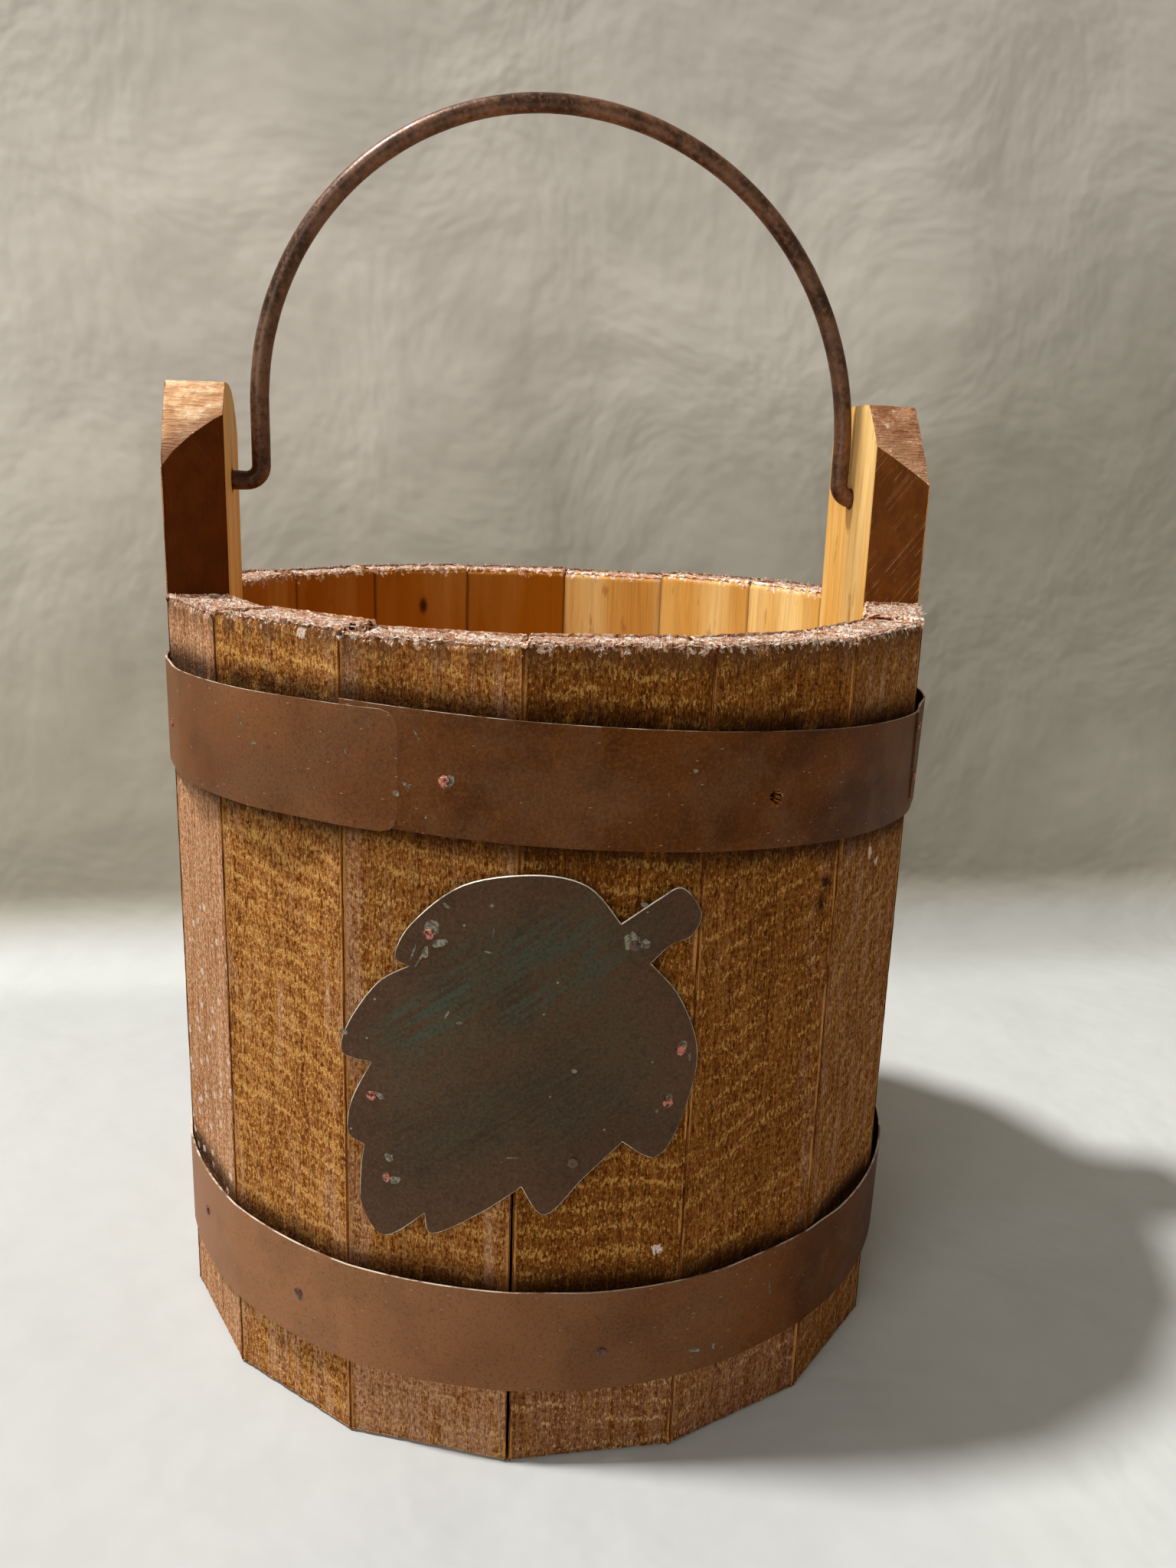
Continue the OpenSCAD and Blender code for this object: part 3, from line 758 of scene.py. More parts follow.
def makeLeafSteel():
    look = leafLook
    material, tree, shader = newMaterial("leafSheet")
    place = addNode(tree, "ShaderNodeTexCoord").outputs["Object"]
    turned = addNode(tree, "ShaderNodeMapping", {"Vector": place, "Rotation": (0, math.radians(look["slant"]), 0)})
    fineTurned = addNode(
        tree, "ShaderNodeVectorMath", {0: turned.outputs[0], 1: (55, 60, 900)}, operation="MULTIPLY"
    )
    wideTurned = addNode(
        tree, "ShaderNodeVectorMath", {0: turned.outputs[0], 1: (13, 30, 70)}, operation="MULTIPLY"
    )
    fine = cloud(tree, fineTurned.outputs[0], 1.0, 3, 0.6)
    wide = cloud(tree, wideTurned.outputs[0], 1.0, 2, 0.5)
    mottle = cloud(tree, place, 1000.0, 3, 0.75)
    base = blendColour(tree, window(tree, cloud(tree, place, 30.0, 4, 0.6), 0.4, 0.62), look["body"], look["dark"])
    centre = named(tree, "leafMiddle")
    olive = calc(tree, "MULTIPLY", window(tree, fine, 0.3, 0.66), 0.75)
    base = blendColour(tree, calc(tree, "MULTIPLY", olive, centre), base, look["olive"])
    brushed = calc(tree, "MULTIPLY", named(tree, "leafBand"), window(tree, fine, 0.36, 0.62))
    brushed = calc(tree, "MULTIPLY", brushed, window(tree, wide, 0.36, 0.56))
    base = blendColour(tree, calc(tree, "MULTIPLY", brushed, 0.75), base, look["green"])
    rim = calc(tree, "SUBTRACT", 1.0, centre)
    base = blendColour(tree, calc(tree, "MULTIPLY", rim, 0.35), base, look["rust"])
    base = blendColour(tree, calc(tree, "MULTIPLY", window(tree, mottle, 0.5, 0.66), 0.35), base, look["grain"])
    base = blendColour(tree, calc(tree, "MULTIPLY", window(tree, mottle, 0.48, 0.36), 0.45), base, look["grit"])
    dots = placeGroup(tree, specks, {"Place": place, "Size": 0.0012, "Share": 0.003})
    base = blendColour(tree, calc(tree, "MULTIPLY", dots.outputs["Specks"], 0.6), base, colour(176, 166, 140))
    tree.links.new(base, shader.inputs["Base Color"])
    shader.inputs["Specular IOR Level"].default_value = 0.18
    shader.inputs["Roughness"].default_value = 0.45
    relief(tree, shader, calc(tree, "MULTIPLY_ADD", fine, 0.6, mottle), 0.00015, 0.4)
    return material


def makeNailMetal(name, dull, bright):
    material, tree, shader = newMaterial(name)
    place = addNode(tree, "ShaderNodeTexCoord").outputs["Object"]
    chips = cloud(tree, place, 900.0, 3, 0.6)
    patch = cloud(tree, place, 60.0, 1, 0.5)
    base = blendColour(tree, window(tree, chips, 0.45, 0.55), dull, bright)
    base = blendColour(tree, window(tree, patch, 0.55, 0.65), base, colour(92, 66, 50))
    base = blendColour(tree, window(tree, chips, 0.45, 0.37), base, colour(44, 24, 16))
    tree.links.new(base, shader.inputs["Base Color"])
    shader.inputs["Roughness"].default_value = 0.55
    shader.inputs["Metallic"].default_value = 0.2
    relief(tree, shader, chips, 0.0004, 0.7)
    return material


def makeRodSteel():
    material, tree, shader = newMaterial("rustedRod")
    place = addNode(tree, "ShaderNodeTexCoord").outputs["Object"]
    blotch = cloud(tree, place, 60.0, 4, 0.6)
    mottle = cloud(tree, place, 600.0, 4, 0.7)
    base = blendColour(tree, window(tree, blotch, 0.38, 0.62), colour(66, 42, 26), colour(112, 76, 52))
    base = blendColour(tree, calc(tree, "MULTIPLY", window(tree, mottle, 0.5, 0.66), 0.45), base, colour(150, 100, 68))
    base = blendColour(tree, calc(tree, "MULTIPLY", window(tree, mottle, 0.46, 0.34), 0.55), base, colour(36, 20, 10))
    tree.links.new(base, shader.inputs["Base Color"])
    tree.links.new(blendValue(tree, window(tree, blotch, 0.35, 0.6), 0.5, 0.25), shader.inputs["Metallic"])
    tree.links.new(blendValue(tree, window(tree, mottle, 0.3, 0.7), 0.28, 0.5), shader.inputs["Roughness"])
    relief(tree, shader, mottle, 0.0003, 0.4)
    return material


def makeSplinterWood(name, dull, bright):
    material, tree, shader = newMaterial(name)
    place = addNode(tree, "ShaderNodeTexCoord").outputs["Object"]
    tone = cloud(tree, place, 260.0, 2, 0.5)
    base = blendColour(tree, window(tree, tone, 0.4, 0.6), dull, bright)
    tree.links.new(base, shader.inputs["Base Color"])
    shader.inputs["Roughness"].default_value = 0.9
    return material


def makeFlakedPaint():
    material, tree, shader = newMaterial("flakedPaint")
    place = addNode(tree, "ShaderNodeTexCoord").outputs["Object"]
    worn = cloud(tree, place, 900.0, 3, 0.6)
    base = blendColour(tree, window(tree, worn, 0.42, 0.6), colour(74, 64, 48), colour(134, 126, 104))
    tree.links.new(base, shader.inputs["Base Color"])
    shader.inputs["Roughness"].default_value = 0.6
    return material


hoopSteel = makeHoopSteel()
bareSteel = makeBareSteel("bareSteel", colour(134, 96, 66), colour(228, 208, 186), 0.1)
chippedEdge = makeBareSteel("chippedLeafEdge", colour(150, 138, 118), colour(236, 232, 214), 0.2)
splinterWood = makeSplinterWood("paleSplinters", colour(168, 116, 88), colour(244, 218, 198))
tornWood = makeSplinterWood("tornOrangeWood", colour(196, 112, 28), colour(232, 158, 66))
flakedPaint = makeFlakedPaint()
leafSteel = makeLeafSteel()
nailMetal = makeNailMetal("chippedNail", colour(108, 56, 40), colour(194, 116, 94))
darkNail = makeNailMetal("brownedNail", colour(70, 42, 30), colour(104, 66, 48))
rodSteel = makeRodSteel()
print("metal materials made")


# The staves: one blank is cut and gridded, then copied, moved to its length and roughened

stave = {
    "count": 16,
    "width": 0.0508,
    "thick": 0.019,
    "arris": 0.00015,
    "gridUp": 0.0064,
    "gridAcross": 0.0032,
    "gridIn": 0.0038,
    "sawDepth": 0.00035,
    "rimDepth": 0.0026,
    "arrisDepth": 0.0003,
    "footChamfer": 0.0011,
    "openSeam": 0.00045,  # how far each of the two front staves is drawn back from the open seam
    "openTo": 0.15,
}
halfTurn = math.radians(180 / stave["count"])
outerFlat = stave["width"] / 2 / math.tan(halfTurn)
innerFlat = outerFlat - stave["thick"]
cornerRadius = outerFlat / math.cos(halfTurn)
rimHeight = min(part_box("front_stave_" + str(i))[1].z for i in range(1, 8))

hoop = {
    "width": 0.0335,
    "thick": 0.0006,
    "play": 0.0001,
    "lapPlay": 0.00005,
    "corner": 0.005,
    "cell": 0.0035,
    "front": {"from": 236.3, "to": 334.2, "height": 0.20975, "lean": 3.27, "leanBack": 0.88, "leftSheen": 0.25},
    "back": {"from": 326.2, "to": 604.3, "height": 0.2086, "lean": 1.89, "leanBack": 1.62, "leftSheen": 0.4},
    "lower": {"from": 92, "to": 460, "height": 0.043, "lean": 0, "leanBack": 0, "leftSheen": 1.0},
    "hoopEdgeShade": 0.0095,  # height of the painted shade along the edges
    "tornHole": {"at": 291.1, "up": -0.06, "radius": 0.0023},
}
hoopRadius = cornerRadius + hoop["play"]


def stripHeight(values, at, share=0.0):
    # share is a place across the strip, in widths up from its middle
    turn = math.radians(at)
    lean = math.cos(turn) * math.tan(math.radians(values["lean"]))
    leanBack = math.sin(turn) * math.tan(math.radians(values["leanBack"]))
    return values["height"] - 0.1302 * (lean + leanBack) + share * hoop["width"]


def upperStrip(at):
    return hoop["front"] if hoop["front"]["from"] < at % 360 < hoop["front"]["to"] else hoop["back"]


def shapeBlank(name, height, cuts=()):
    middle = outerFlat - stave["thick"] / 2
    blank = addBlock(name, (middle, 0, height / 2), (stave["thick"], stave["width"], height))
    startEdit(blank)
    pick(blank, "VERT", lambda vertex: vertex.co.x < middle)
    bpy.ops.transform.resize(value=(1, innerFlat / outerFlat, 1))
    pick(blank, "EDGE", lambda edge: all(v.co.x > middle and v.co.z < 0.001 for v in edge.verts))
    bpy.ops.mesh.bevel(offset=stave["footChamfer"], segments=1)
    for place, normal in cuts:
        cutThrough(place, normal, clear=True)
    endEdit()
    finishWith(
        blank, "BEVEL", width=stave["arris"], segments=2, limit_method="ANGLE", angle_limit=math.radians(25)
    )
    up = int(height / stave["gridUp"])
    cutGrid(blank, Vector((0, 0, 1)), evenly(0, height, up) + [height - 0.0015, height - 0.003])
    cutGrid(blank, Vector((0, 1, 0)), evenly(-stave["width"] / 2, stave["width"] / 2, 16))
    cutGrid(blank, Vector((1, 0, 0)), evenly(innerFlat, outerFlat, 5))
    finishWith(blank, "SUBSURF", subdivision_type="SIMPLE", levels=2, render_levels=2)
    return blank


def dressFaces(piece, cutNormals=()):
    for material in (outerWood, innerWood, endWood, sideWood, cutWood):
        piece.data.materials.append(material)
    for face in piece.data.polygons:
        normal = face.normal
        if any(normal.dot(cut) > 0.97 for cut in cutNormals) and face.center.z > rimHeight:
            face.material_index = 4
        elif abs(normal.z) > 0.8:
            face.material_index = 2
        elif normal.x > 0.6:
            face.material_index = 0
        elif normal.x < -0.7:
            face.material_index = 1
        else:
            face.material_index = 3


def weighStave(piece, height):
    weigh(piece, "outer", lambda co: 1 if co.x > outerFlat - 0.0012 and co.z < height - 0.001 else 0)
    weigh(piece, "rim", lambda co: (co.z - height + 0.0028) / 0.0028)
    arrisFrom = stave["width"] / 2 - 0.0022
    weigh(piece, "arris", lambda co: (abs(co.y) - arrisFrom) / 0.0022 if co.x > outerFlat - 0.003 else 0)
    weigh(piece, "foot", lambda co: (0.002 - co.z) / 0.002)


# How each stave is stained and rubbed, and how much painted shade darkens its inner face; left and right are strips
# along its edges, foot is below the lower hoop
staveLooks = {
    "front_stave_1": {"rubbed": 0.78, "chips": 0.6, "tilt": 0.1, "gold": 0.5, "rows": 0.3},
    "front_stave_2": {"rubbed": 0.15, "right": 0.3, "stain": 0.1, "tilt": 0.2, "foot": 0.4, "gold": 0.9},
    "front_stave_3": {"rubbed": 0.12, "left": 0.55, "right": 0.45, "stain": 0.25, "tilt": 0.1, "foot": 0.62,
                      "gold": 0.6},
    "front_stave_4": {"rubbed": 0.04, "stain": 0.8, "tilt": 0.05, "foot": 0.62, "gold": 0.55},
    "front_stave_5": {"rubbed": 0.02, "stain": 0.7, "right": 0.35, "tilt": -0.4, "foot": 0.62, "gold": 0.3},
    "front_stave_6": {"rubbed": 0.34, "stain": 0.45, "tilt": -0.5, "gold": 0.4},
    "front_stave_7": {"rubbed": 0.4, "stain": 0.4, "tilt": -0.4},
    "right_ear_stave": {"amberShade": 0.0, "rubbed": 0.3, "stain": 0.3, "tilt": 0.2},
    "left_ear_stave": {"amberShade": 0.1, "rubbed": 0.4, "stain": 0.1, "tilt": 0.1},
    "back_stave_1": {"amberShade": 0.9, "rubbed": 0.3, "right": 0.4, "tilt": 0.2},
    "back_stave_2": {"amberShade": 1.0, "rubbed": 0.1, "stain": 0.4, "tilt": -0.3},
    "back_stave_3": {"amberShade": 0.95, "rubbed": 0.2, "left": 0.4, "stain": 0.2, "tilt": 0.1},
    "back_stave_4": {"amberShade": 1.0, "rubbed": 0.05, "stain": 0.7, "tilt": 0.4},
    "back_stave_5": {"amberShade": 0.35, "rubbed": 0.3, "stain": 0.5, "right": 0.4, "tilt": -0.2},
    "back_stave_6": {"amberShade": 0.2, "rubbed": 0.1, "stain": 0.6, "tilt": 0.3},
    "back_stave_7": {"amberShade": 0.1, "rubbed": 0.35, "stain": 0.3, "left": 0.4, "tilt": -0.3},
}
innerKnots = {"back_stave_3": [(-0.0006, 0.2344, 0.0035, 0.0065)]}
# Dark knots on the outer faces; the third mark on front_stave_5 is no knot but painted shade, the dark nail hole seen
# through the torn hole in the upper hoop
outerKnotsAndHoleShade = {
    "front_stave_5": [(0.021, 0.1777, 0.004, 0.0032), (0.0195, 0.171, 0.0024, 0.005), (-0.0031, 0.2069, 0.0032, 0.0032)],
}
outerChips = {
    "front_stave_2": [(0.0112, 0.2481, 0.0032, 0.0024)],
    "front_stave_4": [(0.0181, 0.0703, 0.0028, 0.0028)],
    "front_stave_6": [(-0.0011, 0.1809, 0.0022, 0.0036), (0.0049, 0.1762, 0.003, 0.0018)],
}


def fade(value, full, none):
    # 1 at full, 0 at none, smooth between
    share = max(0.0, min(1.0, (value - none) / (full - none)))
    return share * share * (3 - 2 * share)


# Painted shade beside the hoops: full at the upper hoop's lower and upper edges and at the lower hoop's upper edge,
# fading over a short height
def hoopEdgeShadeAt(co, direction):
    at = direction + math.degrees(co.y / outerFlat)
    upper = stripHeight(upperStrip(at), at)
    edges = (upper - hoop["width"] / 2, upper + hoop["width"] / 2,
             hoop["lower"]["height"] + hoop["width"] / 2)
    return max(fade(abs(co.z - edge), 0.001, hoop["hoopEdgeShade"]) for edge in edges)


def markBoard(piece, node, direction, number, height):
    looks = staveLooks[node]
    places = piece.data.attributes.new("boardPlace", "FLOAT_VECTOR", "POINT")
    flat = []
    for vertex in piece.data.vertices:
        flat += [vertex.co.x - outerFlat, vertex.co.y, vertex.co.z]
    places.data.foreach_set("vector", flat)
    paint(piece, "staveNumber", lambda co: number)
    paint(piece, "sawTilt", lambda co: looks["tilt"])
    paint(piece, "sawnRows", lambda co: looks.get("rows", 1.0))
    paint(piece, "stain", lambda co: looks.get("stain", 0.0))
    paint(piece, "gold", lambda co: looks.get("gold", 0.3))
    paint(piece, "amberShade", lambda co: looks.get("amberShade", 0.3))
    paint(piece, "chips", lambda co: looks.get("chips", 0.0) * fade(abs(co.z - 0.105), 0.03, 0.06))
    edge = stave["width"] / 2
    paint(piece, "rubbed", lambda co: max(
        looks["rubbed"],
        looks.get("left", 0) * fade(co.y, -edge + 0.003, -edge + 0.013),
        looks.get("right", 0) * fade(co.y, edge - 0.004, edge - 0.015),
        looks.get("foot", 0) * fade(co.z, 0.024, 0.034)
    ))
    paint(piece, "hoopEdgeShade", lambda co: hoopEdgeShadeAt(co, direction))
    paint(piece, "rimStain", lambda co: fade(co.z, height - 0.002, height - 0.012))
    for name, marks in (("knot", innerKnots), ("outerKnotAndHoleShade", outerKnotsAndHoleShade), ("outerChip", outerChips)):
        paint(piece, name, lambda co: max([0] + [
            1 - Vector(((co.y - y) / across, (co.z - z) / along)).length
            for y, z, across, along in marks.get(node, ())
        ]))
    paint(piece, "fromTop", lambda co: 1 if "ear" in node else height - co.z)


def drawBack(piece, side):
    # Opens the seam on one side of a stave, widest at the foot and closed at the inner face
    for vertex in piece.data.vertices:
        co = vertex.co
        near = fade(side * co.y, stave["width"] / 2 * co.x / outerFlat - 0.0008, stave["width"] / 2 - 0.005)
        down = fade(co.z, 0.06, stave["openTo"])
        out = max(0.0, (co.x - innerFlat) / stave["thick"])
        co.y -= side * stave["openSeam"] * near * down * out


def roughenStave(piece, number, rimDepth=stave["rimDepth"]):
    random.seed(number)
    place = Vector((random.random(), random.random(), random.random()))
    roughen(piece, "outer", stave["sawDepth"], (0.0012, 0.0012, 0.006), place)
    roughen(piece, "rim", rimDepth, (0.0024, 0.0024, 0.0024), place, 5)
    roughen(piece, "arris", stave["arrisDepth"], (0.002, 0.003, 0.007), place)
    roughen(piece, "foot", 0.0006, (0.003, 0.003, 0.003), place)


def standStave(piece, node, direction):
    for vertex in piece.data.vertices:
        vertex.co.z = max(vertex.co.z, 0)
    piece.rotation_euler = (0, 0, math.radians(direction))
    settle(piece)
    bpy.ops.object.shade_smooth_by_angle(angle=math.radians(40))
    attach(piece, "pail")
    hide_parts(node)


def makeStaves():
    blank = shapeBlank("blank", rimHeight)
    dressFaces(blank)
    weighStave(blank, rimHeight)
    for side in ("front", "back"):
        for i in range(1, 8):
            node = side + "_stave_" + str(i)
            piece = copyPiece(blank, node + "_wood")
            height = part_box(node)[1].z
            startEdit(piece)
            bpy.ops.transform.resize(value=(1, 1, height / rimHeight), center_override=(0, 0, 0))
            endEdit()
            number = i if side == "front" else 20 + i
            direction = 180 + (22.5 * i if side == "front" else -22.5 * i)
            markBoard(piece, node, direction, number, height)
            if node == "front_stave_3":
                drawBack(piece, 1)
            if node == "front_stave_4":
                drawBack(piece, -1)
            roughenStave(piece, number)
            standStave(piece, node, direction)
    dropPiece(blank)


ear = {
    "left": {"node": "left_ear_stave", "direction": 180, "front": 1, "in": 0.017, "radius": 0.053,
             "backIn": 0.025, "number": 31, "sawLines": 0.04},
    "right": {"node": "right_ear_stave", "direction": 0, "front": -1, "in": 0.018, "radius": 0.19,
              "backIn": 0.017, "number": 33, "sawLines": 1.0},
    "frontDrop": 0.027,
    "frontTurn": 12,  # degrees that the front cuts turn outwards towards the inner face
    "backDrop": 0.031,
    "backRadius": 0.03,
    "holeHeight": 0.2863,
    "holeRadius": 0.0038,
}


def cornerCuts(side, top, inward, drop, radius, turn=0.0, count=6):
    # Planes along the curve of a sawn corner, from its lower end to the top
    chord = math.hypot(inward, drop)
    radius = max(radius, chord / 2 + 0.001)
    sink = math.sqrt(radius ** 2 - chord ** 2 / 4)
    middle = Vector((-inward / 2 - sink * drop / chord, -drop / 2 - sink * inward / chord))
    start = Vector((0, -drop)) - middle
    sweep = Vector((-inward, 0)) - middle
    first = math.atan2(start.y, start.x)
    last = math.atan2(sweep.y, sweep.x)
    twist = Matrix.Rotation(-side * math.radians(turn), 3, "Z")
    corner = Vector((outerFlat, side * stave["width"] / 2, top))
    cuts = []
    for i in range(count):
        angle = first + (last - first) * (i + 0.5) / count
        if angle <= 0:
            continue  # it would lean in under the corner and cut the side of the stave
        reach = radius * math.cos((last - first) / count / 2)
        point = middle + reach * Vector((math.cos(angle), math.sin(angle)))
        place = corner + twist @ Vector((0, side * point.x, point.y))
        normal = twist @ Vector((0, side * math.cos(angle), math.sin(angle)))
        cuts.append((place, normal))
    return cuts


def makeEar(which):
    values = ear[which]
    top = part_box(values["node"])[1].z
    front = cornerCuts(values["front"], top, values["in"], ear["frontDrop"], values["radius"], ear["frontTurn"])
    back = cornerCuts(-values["front"], top, values["backIn"], ear["backDrop"], ear["backRadius"])
    piece = shapeBlank(values["node"] + "_wood", top, front + back)
    dressFaces(piece, [normal for place, normal in front + back])
    weighStave(piece, top)
    markBoard(piece, values["node"], values["direction"], values["number"], top)
    lowFrom = top - ear["frontDrop"]
    paint(piece, "lowOnCut", lambda co: fade(co.z - 0.5 * (outerFlat - co.x), lowFrom, lowFrom + 0.016))
    paint(piece, "sawLines", lambda co: values["sawLines"])
    deselectAll()
    bpy.ops.mesh.primitive_cylinder_add(
        vertices=32, radius=ear["holeRadius"], depth=0.04, rotation=(0, math.pi / 2, 0),
        location=(outerFlat - stave["thick"] / 2, 0, ear["holeHeight"])
    )
    drill = bpy.context.object
    finishWith(piece, "BOOLEAN", object=drill, operation="DIFFERENCE", solver="EXACT")
    dropPiece(drill)
    roughenStave(piece, values["number"], 0.0004)
    standStave(piece, values["node"], values["direction"])


makeStaves()
makeEar("left")
makeEar("right")
print("staves made")


# Splinters: on the rim where the saw left them standing, and round the hole of the lost nail

splinter = {
    "count": 1100,
    "length": (0.0007, 0.003),
    "width": (0.0002, 0.0006),
    "roundHole": 20,
    "holeSize": (0.0019, 0.0004),  # radius of their ring at the stave, and how far their tips flare
}


def plantSplinters(name, spots, material):
    deselectAll()
    bpy.ops.mesh.primitive_cone_add(vertices=4, radius1=0.5, radius2=0.1, depth=1, location=(0, 0, 0.5))
    one = bpy.context.object
    settle(one)
    parts = []
    for spot in spots:
        piece = copyPiece(one, "splinter")
        piece.matrix_world = spot
        parts.append(piece)
    dropPiece(one)
    deselectAll()
    for piece in parts:
        piece.select_set(True)
    bpy.context.view_layer.objects.active = parts[0]
    bpy.ops.object.join()
    joined = bpy.context.object
    joined.name = name
    settle(joined)
    joined.data.materials.append(material)
    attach(joined, "pail")


def rimSpots():
    random.seed(7)
    spots = []
    for i in range(splinter["count"]):
        at = random.uniform(0, 360)
        number = round((at - 180) / 22.5)
        if number % 16 in (0, 8):
            at += 22.5
            number += 1
        number = number % 16
        node = "front_stave_" + str(number) if number < 8 else "back_stave_" + str(16 - number)
        middle = 180 + 22.5 * number
        face = math.radians(at - middle)
        outside = random.random() < 0.7
        flat = outerFlat - 0.0008 if outside else random.uniform(innerFlat + 0.0005, outerFlat - 0.002)
        reach = flat / math.cos((face + halfTurn) % (2 * halfTurn) - halfTurn)
        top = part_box(node)[1].z - 0.0011
        width = random.uniform(*splinter["width"])
        length = random.uniform(*splinter["length"]) * (0.8 if outside else 0.55)
        sideways = Matrix.Rotation(random.uniform(-1.1, 1.1), 4, "X")
        tilt = sideways @ Matrix.Rotation(random.uniform(-0.5, 1.3), 4, "Y")
        turn = Matrix.Rotation(math.radians(at), 4, "Z")
        size = Matrix.Diagonal((width, width, length, 1))
        spots.append(turn @ Matrix.Translation((reach, 0, top)) @ tilt @ size)
    return spots


def holeSpots():
    random.seed(3)
    place = hoop["tornHole"]
    ring, flare = splinter["holeSize"]
    start = Matrix.Rotation(math.radians(place["at"]), 4, "Z") @ Matrix.Translation(
        (outerFlat + 0.0002, 0, stripHeight(hoop["front"], place["at"], place["up"]))
    )
    spots = []
    for i in range(splinter["roundHole"]):
        spin = Matrix.Rotation(2 * math.pi * (i + random.uniform(-0.4, 0.4)) / splinter["roundHole"], 4, "X")
        length = random.uniform(0.0024, 0.0032)
        lean = Matrix.Rotation(math.pi / 2 - math.atan2(flare * random.uniform(0.6, 1.6), length), 4, "Y")
        size = Matrix.Diagonal((random.uniform(0.0004, 0.0009), random.uniform(0.0003, 0.0005), length, 1))
        spots.append(start @ spin @ Matrix.Translation((0, 0, ring)) @ lean @ size)
    return spots


plantSplinters("rim_splinters", rimSpots(), splinterWood)
plantSplinters("torn_hole_splinters", holeSpots(), tornWood)
print("splinters made")


# Hoops: flat strips, snipped at the ends, thickened and bent round the pail

def flatStrip(name, length, width, corner, cell, thick):
    deselectAll()
    bpy.ops.mesh.primitive_plane_add(size=1, rotation=(math.pi / 2, 0, 0))
    piece = bpy.context.object
    piece.name = name
    piece.scale = (length, width, 1)
    settle(piece)
    if corner:
        startEdit(piece)
        bpy.ops.mesh.bevel(offset=corner, segments=3, affect="VERTICES")
        endEdit()
    cutGrid(piece, Vector((1, 0, 0)), evenly(-length / 2, length / 2, int(length / cell)))
    cutGrid(piece, Vector((0, 0, 1)), evenly(-width / 2, width / 2, int(width / cell)))
    finishWith(piece, "SOLIDIFY", thickness=thick, offset=0)
    return piece


def bareEdges(piece, face, edge, bare=1.1):
    # The sheet still lies flat in XZ; edges that face along it more than bare keep the colour of its face
    piece.data.materials.append(face)
    piece.data.materials.append(edge)
    for polygon in piece.data.polygons:
        polygon.material_index = 1 if abs(polygon.normal.y) < 0.9 and abs(polygon.normal.x) < bare else 0


def wrapRound(piece, radius, at, height, lean=0.0, leanBack=0.0, offset=None):
    # Along the sheet goes round the pail, its front side outwards
    for vertex in piece.data.vertices:
        along, out, up = vertex.co
        angle = math.radians(at) + along / radius
        reach = radius - out + (offset(math.degrees(angle), up) if offset else 0)
        x = reach * math.cos(angle)
        y = reach * math.sin(angle)
        fall = x * math.tan(math.radians(lean)) + y * math.tan(math.radians(leanBack))
        vertex.co = (x, y, height + up - fall)


def creased(angle):
    # The sheet lies flatter between the corners of the pail
    turn = (angle - 11.25) % 22.5 / 22.5
    return -0.0005 * 4 * turn * (1 - turn)


def frontOffset(angle, up):
    return creased(angle) * 0.7


def backOffset(angle, up):
    at = angle % 360
    bulge = 0.0013 * fade(abs(at - 213), 8, 20)
    tail = 0.0009 * fade(abs(at - 343), 4, 16) * (0.5 + up / hoop["width"])
    pressed = 0.00052 * fade(at, 244.3, 239) * (at < 245) * fade(up, -0.012, -0.0155)
    return creased(angle) * (1 - fade(abs(at - 213), 8, 20)) + bulge + tail - pressed


def lowerOffset(angle, up):
    at = angle % 360
    slack = fade(abs(at - 278), 8, 16) + fade(at, 312, 306)
    lip = 0.0004 * slack * (0.5 + up / hoop["width"])
    return creased(angle) * (1 - min(1, slack)) + lip


def makeStrip(name, values, radius, corner, offset, hole=None):
    spread = values["to"] - values["from"]
    length = math.radians(spread) * radius
    middle = (values["from"] + values["to"]) / 2
    piece = flatStrip(name, length, hoop["width"], corner, hoop["cell"], hoop["thick"])
    if hole:
        deselectAll()
        bpy.ops.mesh.primitive_cylinder_add(
            vertices=11, radius=hole["radius"], depth=0.01, rotation=(math.pi / 2, 0.3, 0),
            location=(math.radians(hole["at"] - middle) * radius, 0, hole["up"] * hoop["width"])
        )
        punch = bpy.context.object
        punch.scale = (1.12, 0.9, 1)
        finishWith(piece, "BOOLEAN", object=punch, operation="DIFFERENCE", solver="EXACT")
        dropPiece(punch)
    bareEdges(piece, hoopSteel, bareSteel, 0.95)
    finishWith(piece, "SUBSURF", subdivision_type="SIMPLE", levels=1, render_levels=1)
    wrapRound(
        piece, radius + hoop["thick"] / 2, middle, values["height"], values["lean"], values["leanBack"], offset
    )
    # Painted sheen, strongest at the left of the pail and gone at its right
    paint(piece, "leftSheen", lambda co: fade(co.x, -0.125, 0.11) * values["leftSheen"])
    makeActive(piece)
    bpy.ops.object.shade_smooth_by_angle(angle=math.radians(40))
    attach(piece, "pail")
    return piece


def makeHoops():
    front = makeStrip("upper_hoop_front_sheet", hoop["front"], hoopRadius, 0, frontOffset, hoop["tornHole"])
    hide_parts("upper_hoop_front_strip")
    backRadius = hoopRadius + hoop["thick"] + hoop["lapPlay"]
    back = makeStrip("upper_hoop_back_sheet", hoop["back"], backRadius, hoop["corner"], backOffset)
    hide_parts("upper_hoop_back_strip")
    lower = makeStrip("lower_hoop_sheet", hoop["lower"], hoopRadius, 0, lowerOffset)
    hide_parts("lower_hoop")


makeHoops()
print("hoops made")


# The leaf plate: its outline in hundredths of its height, right of its middle and up from its foot

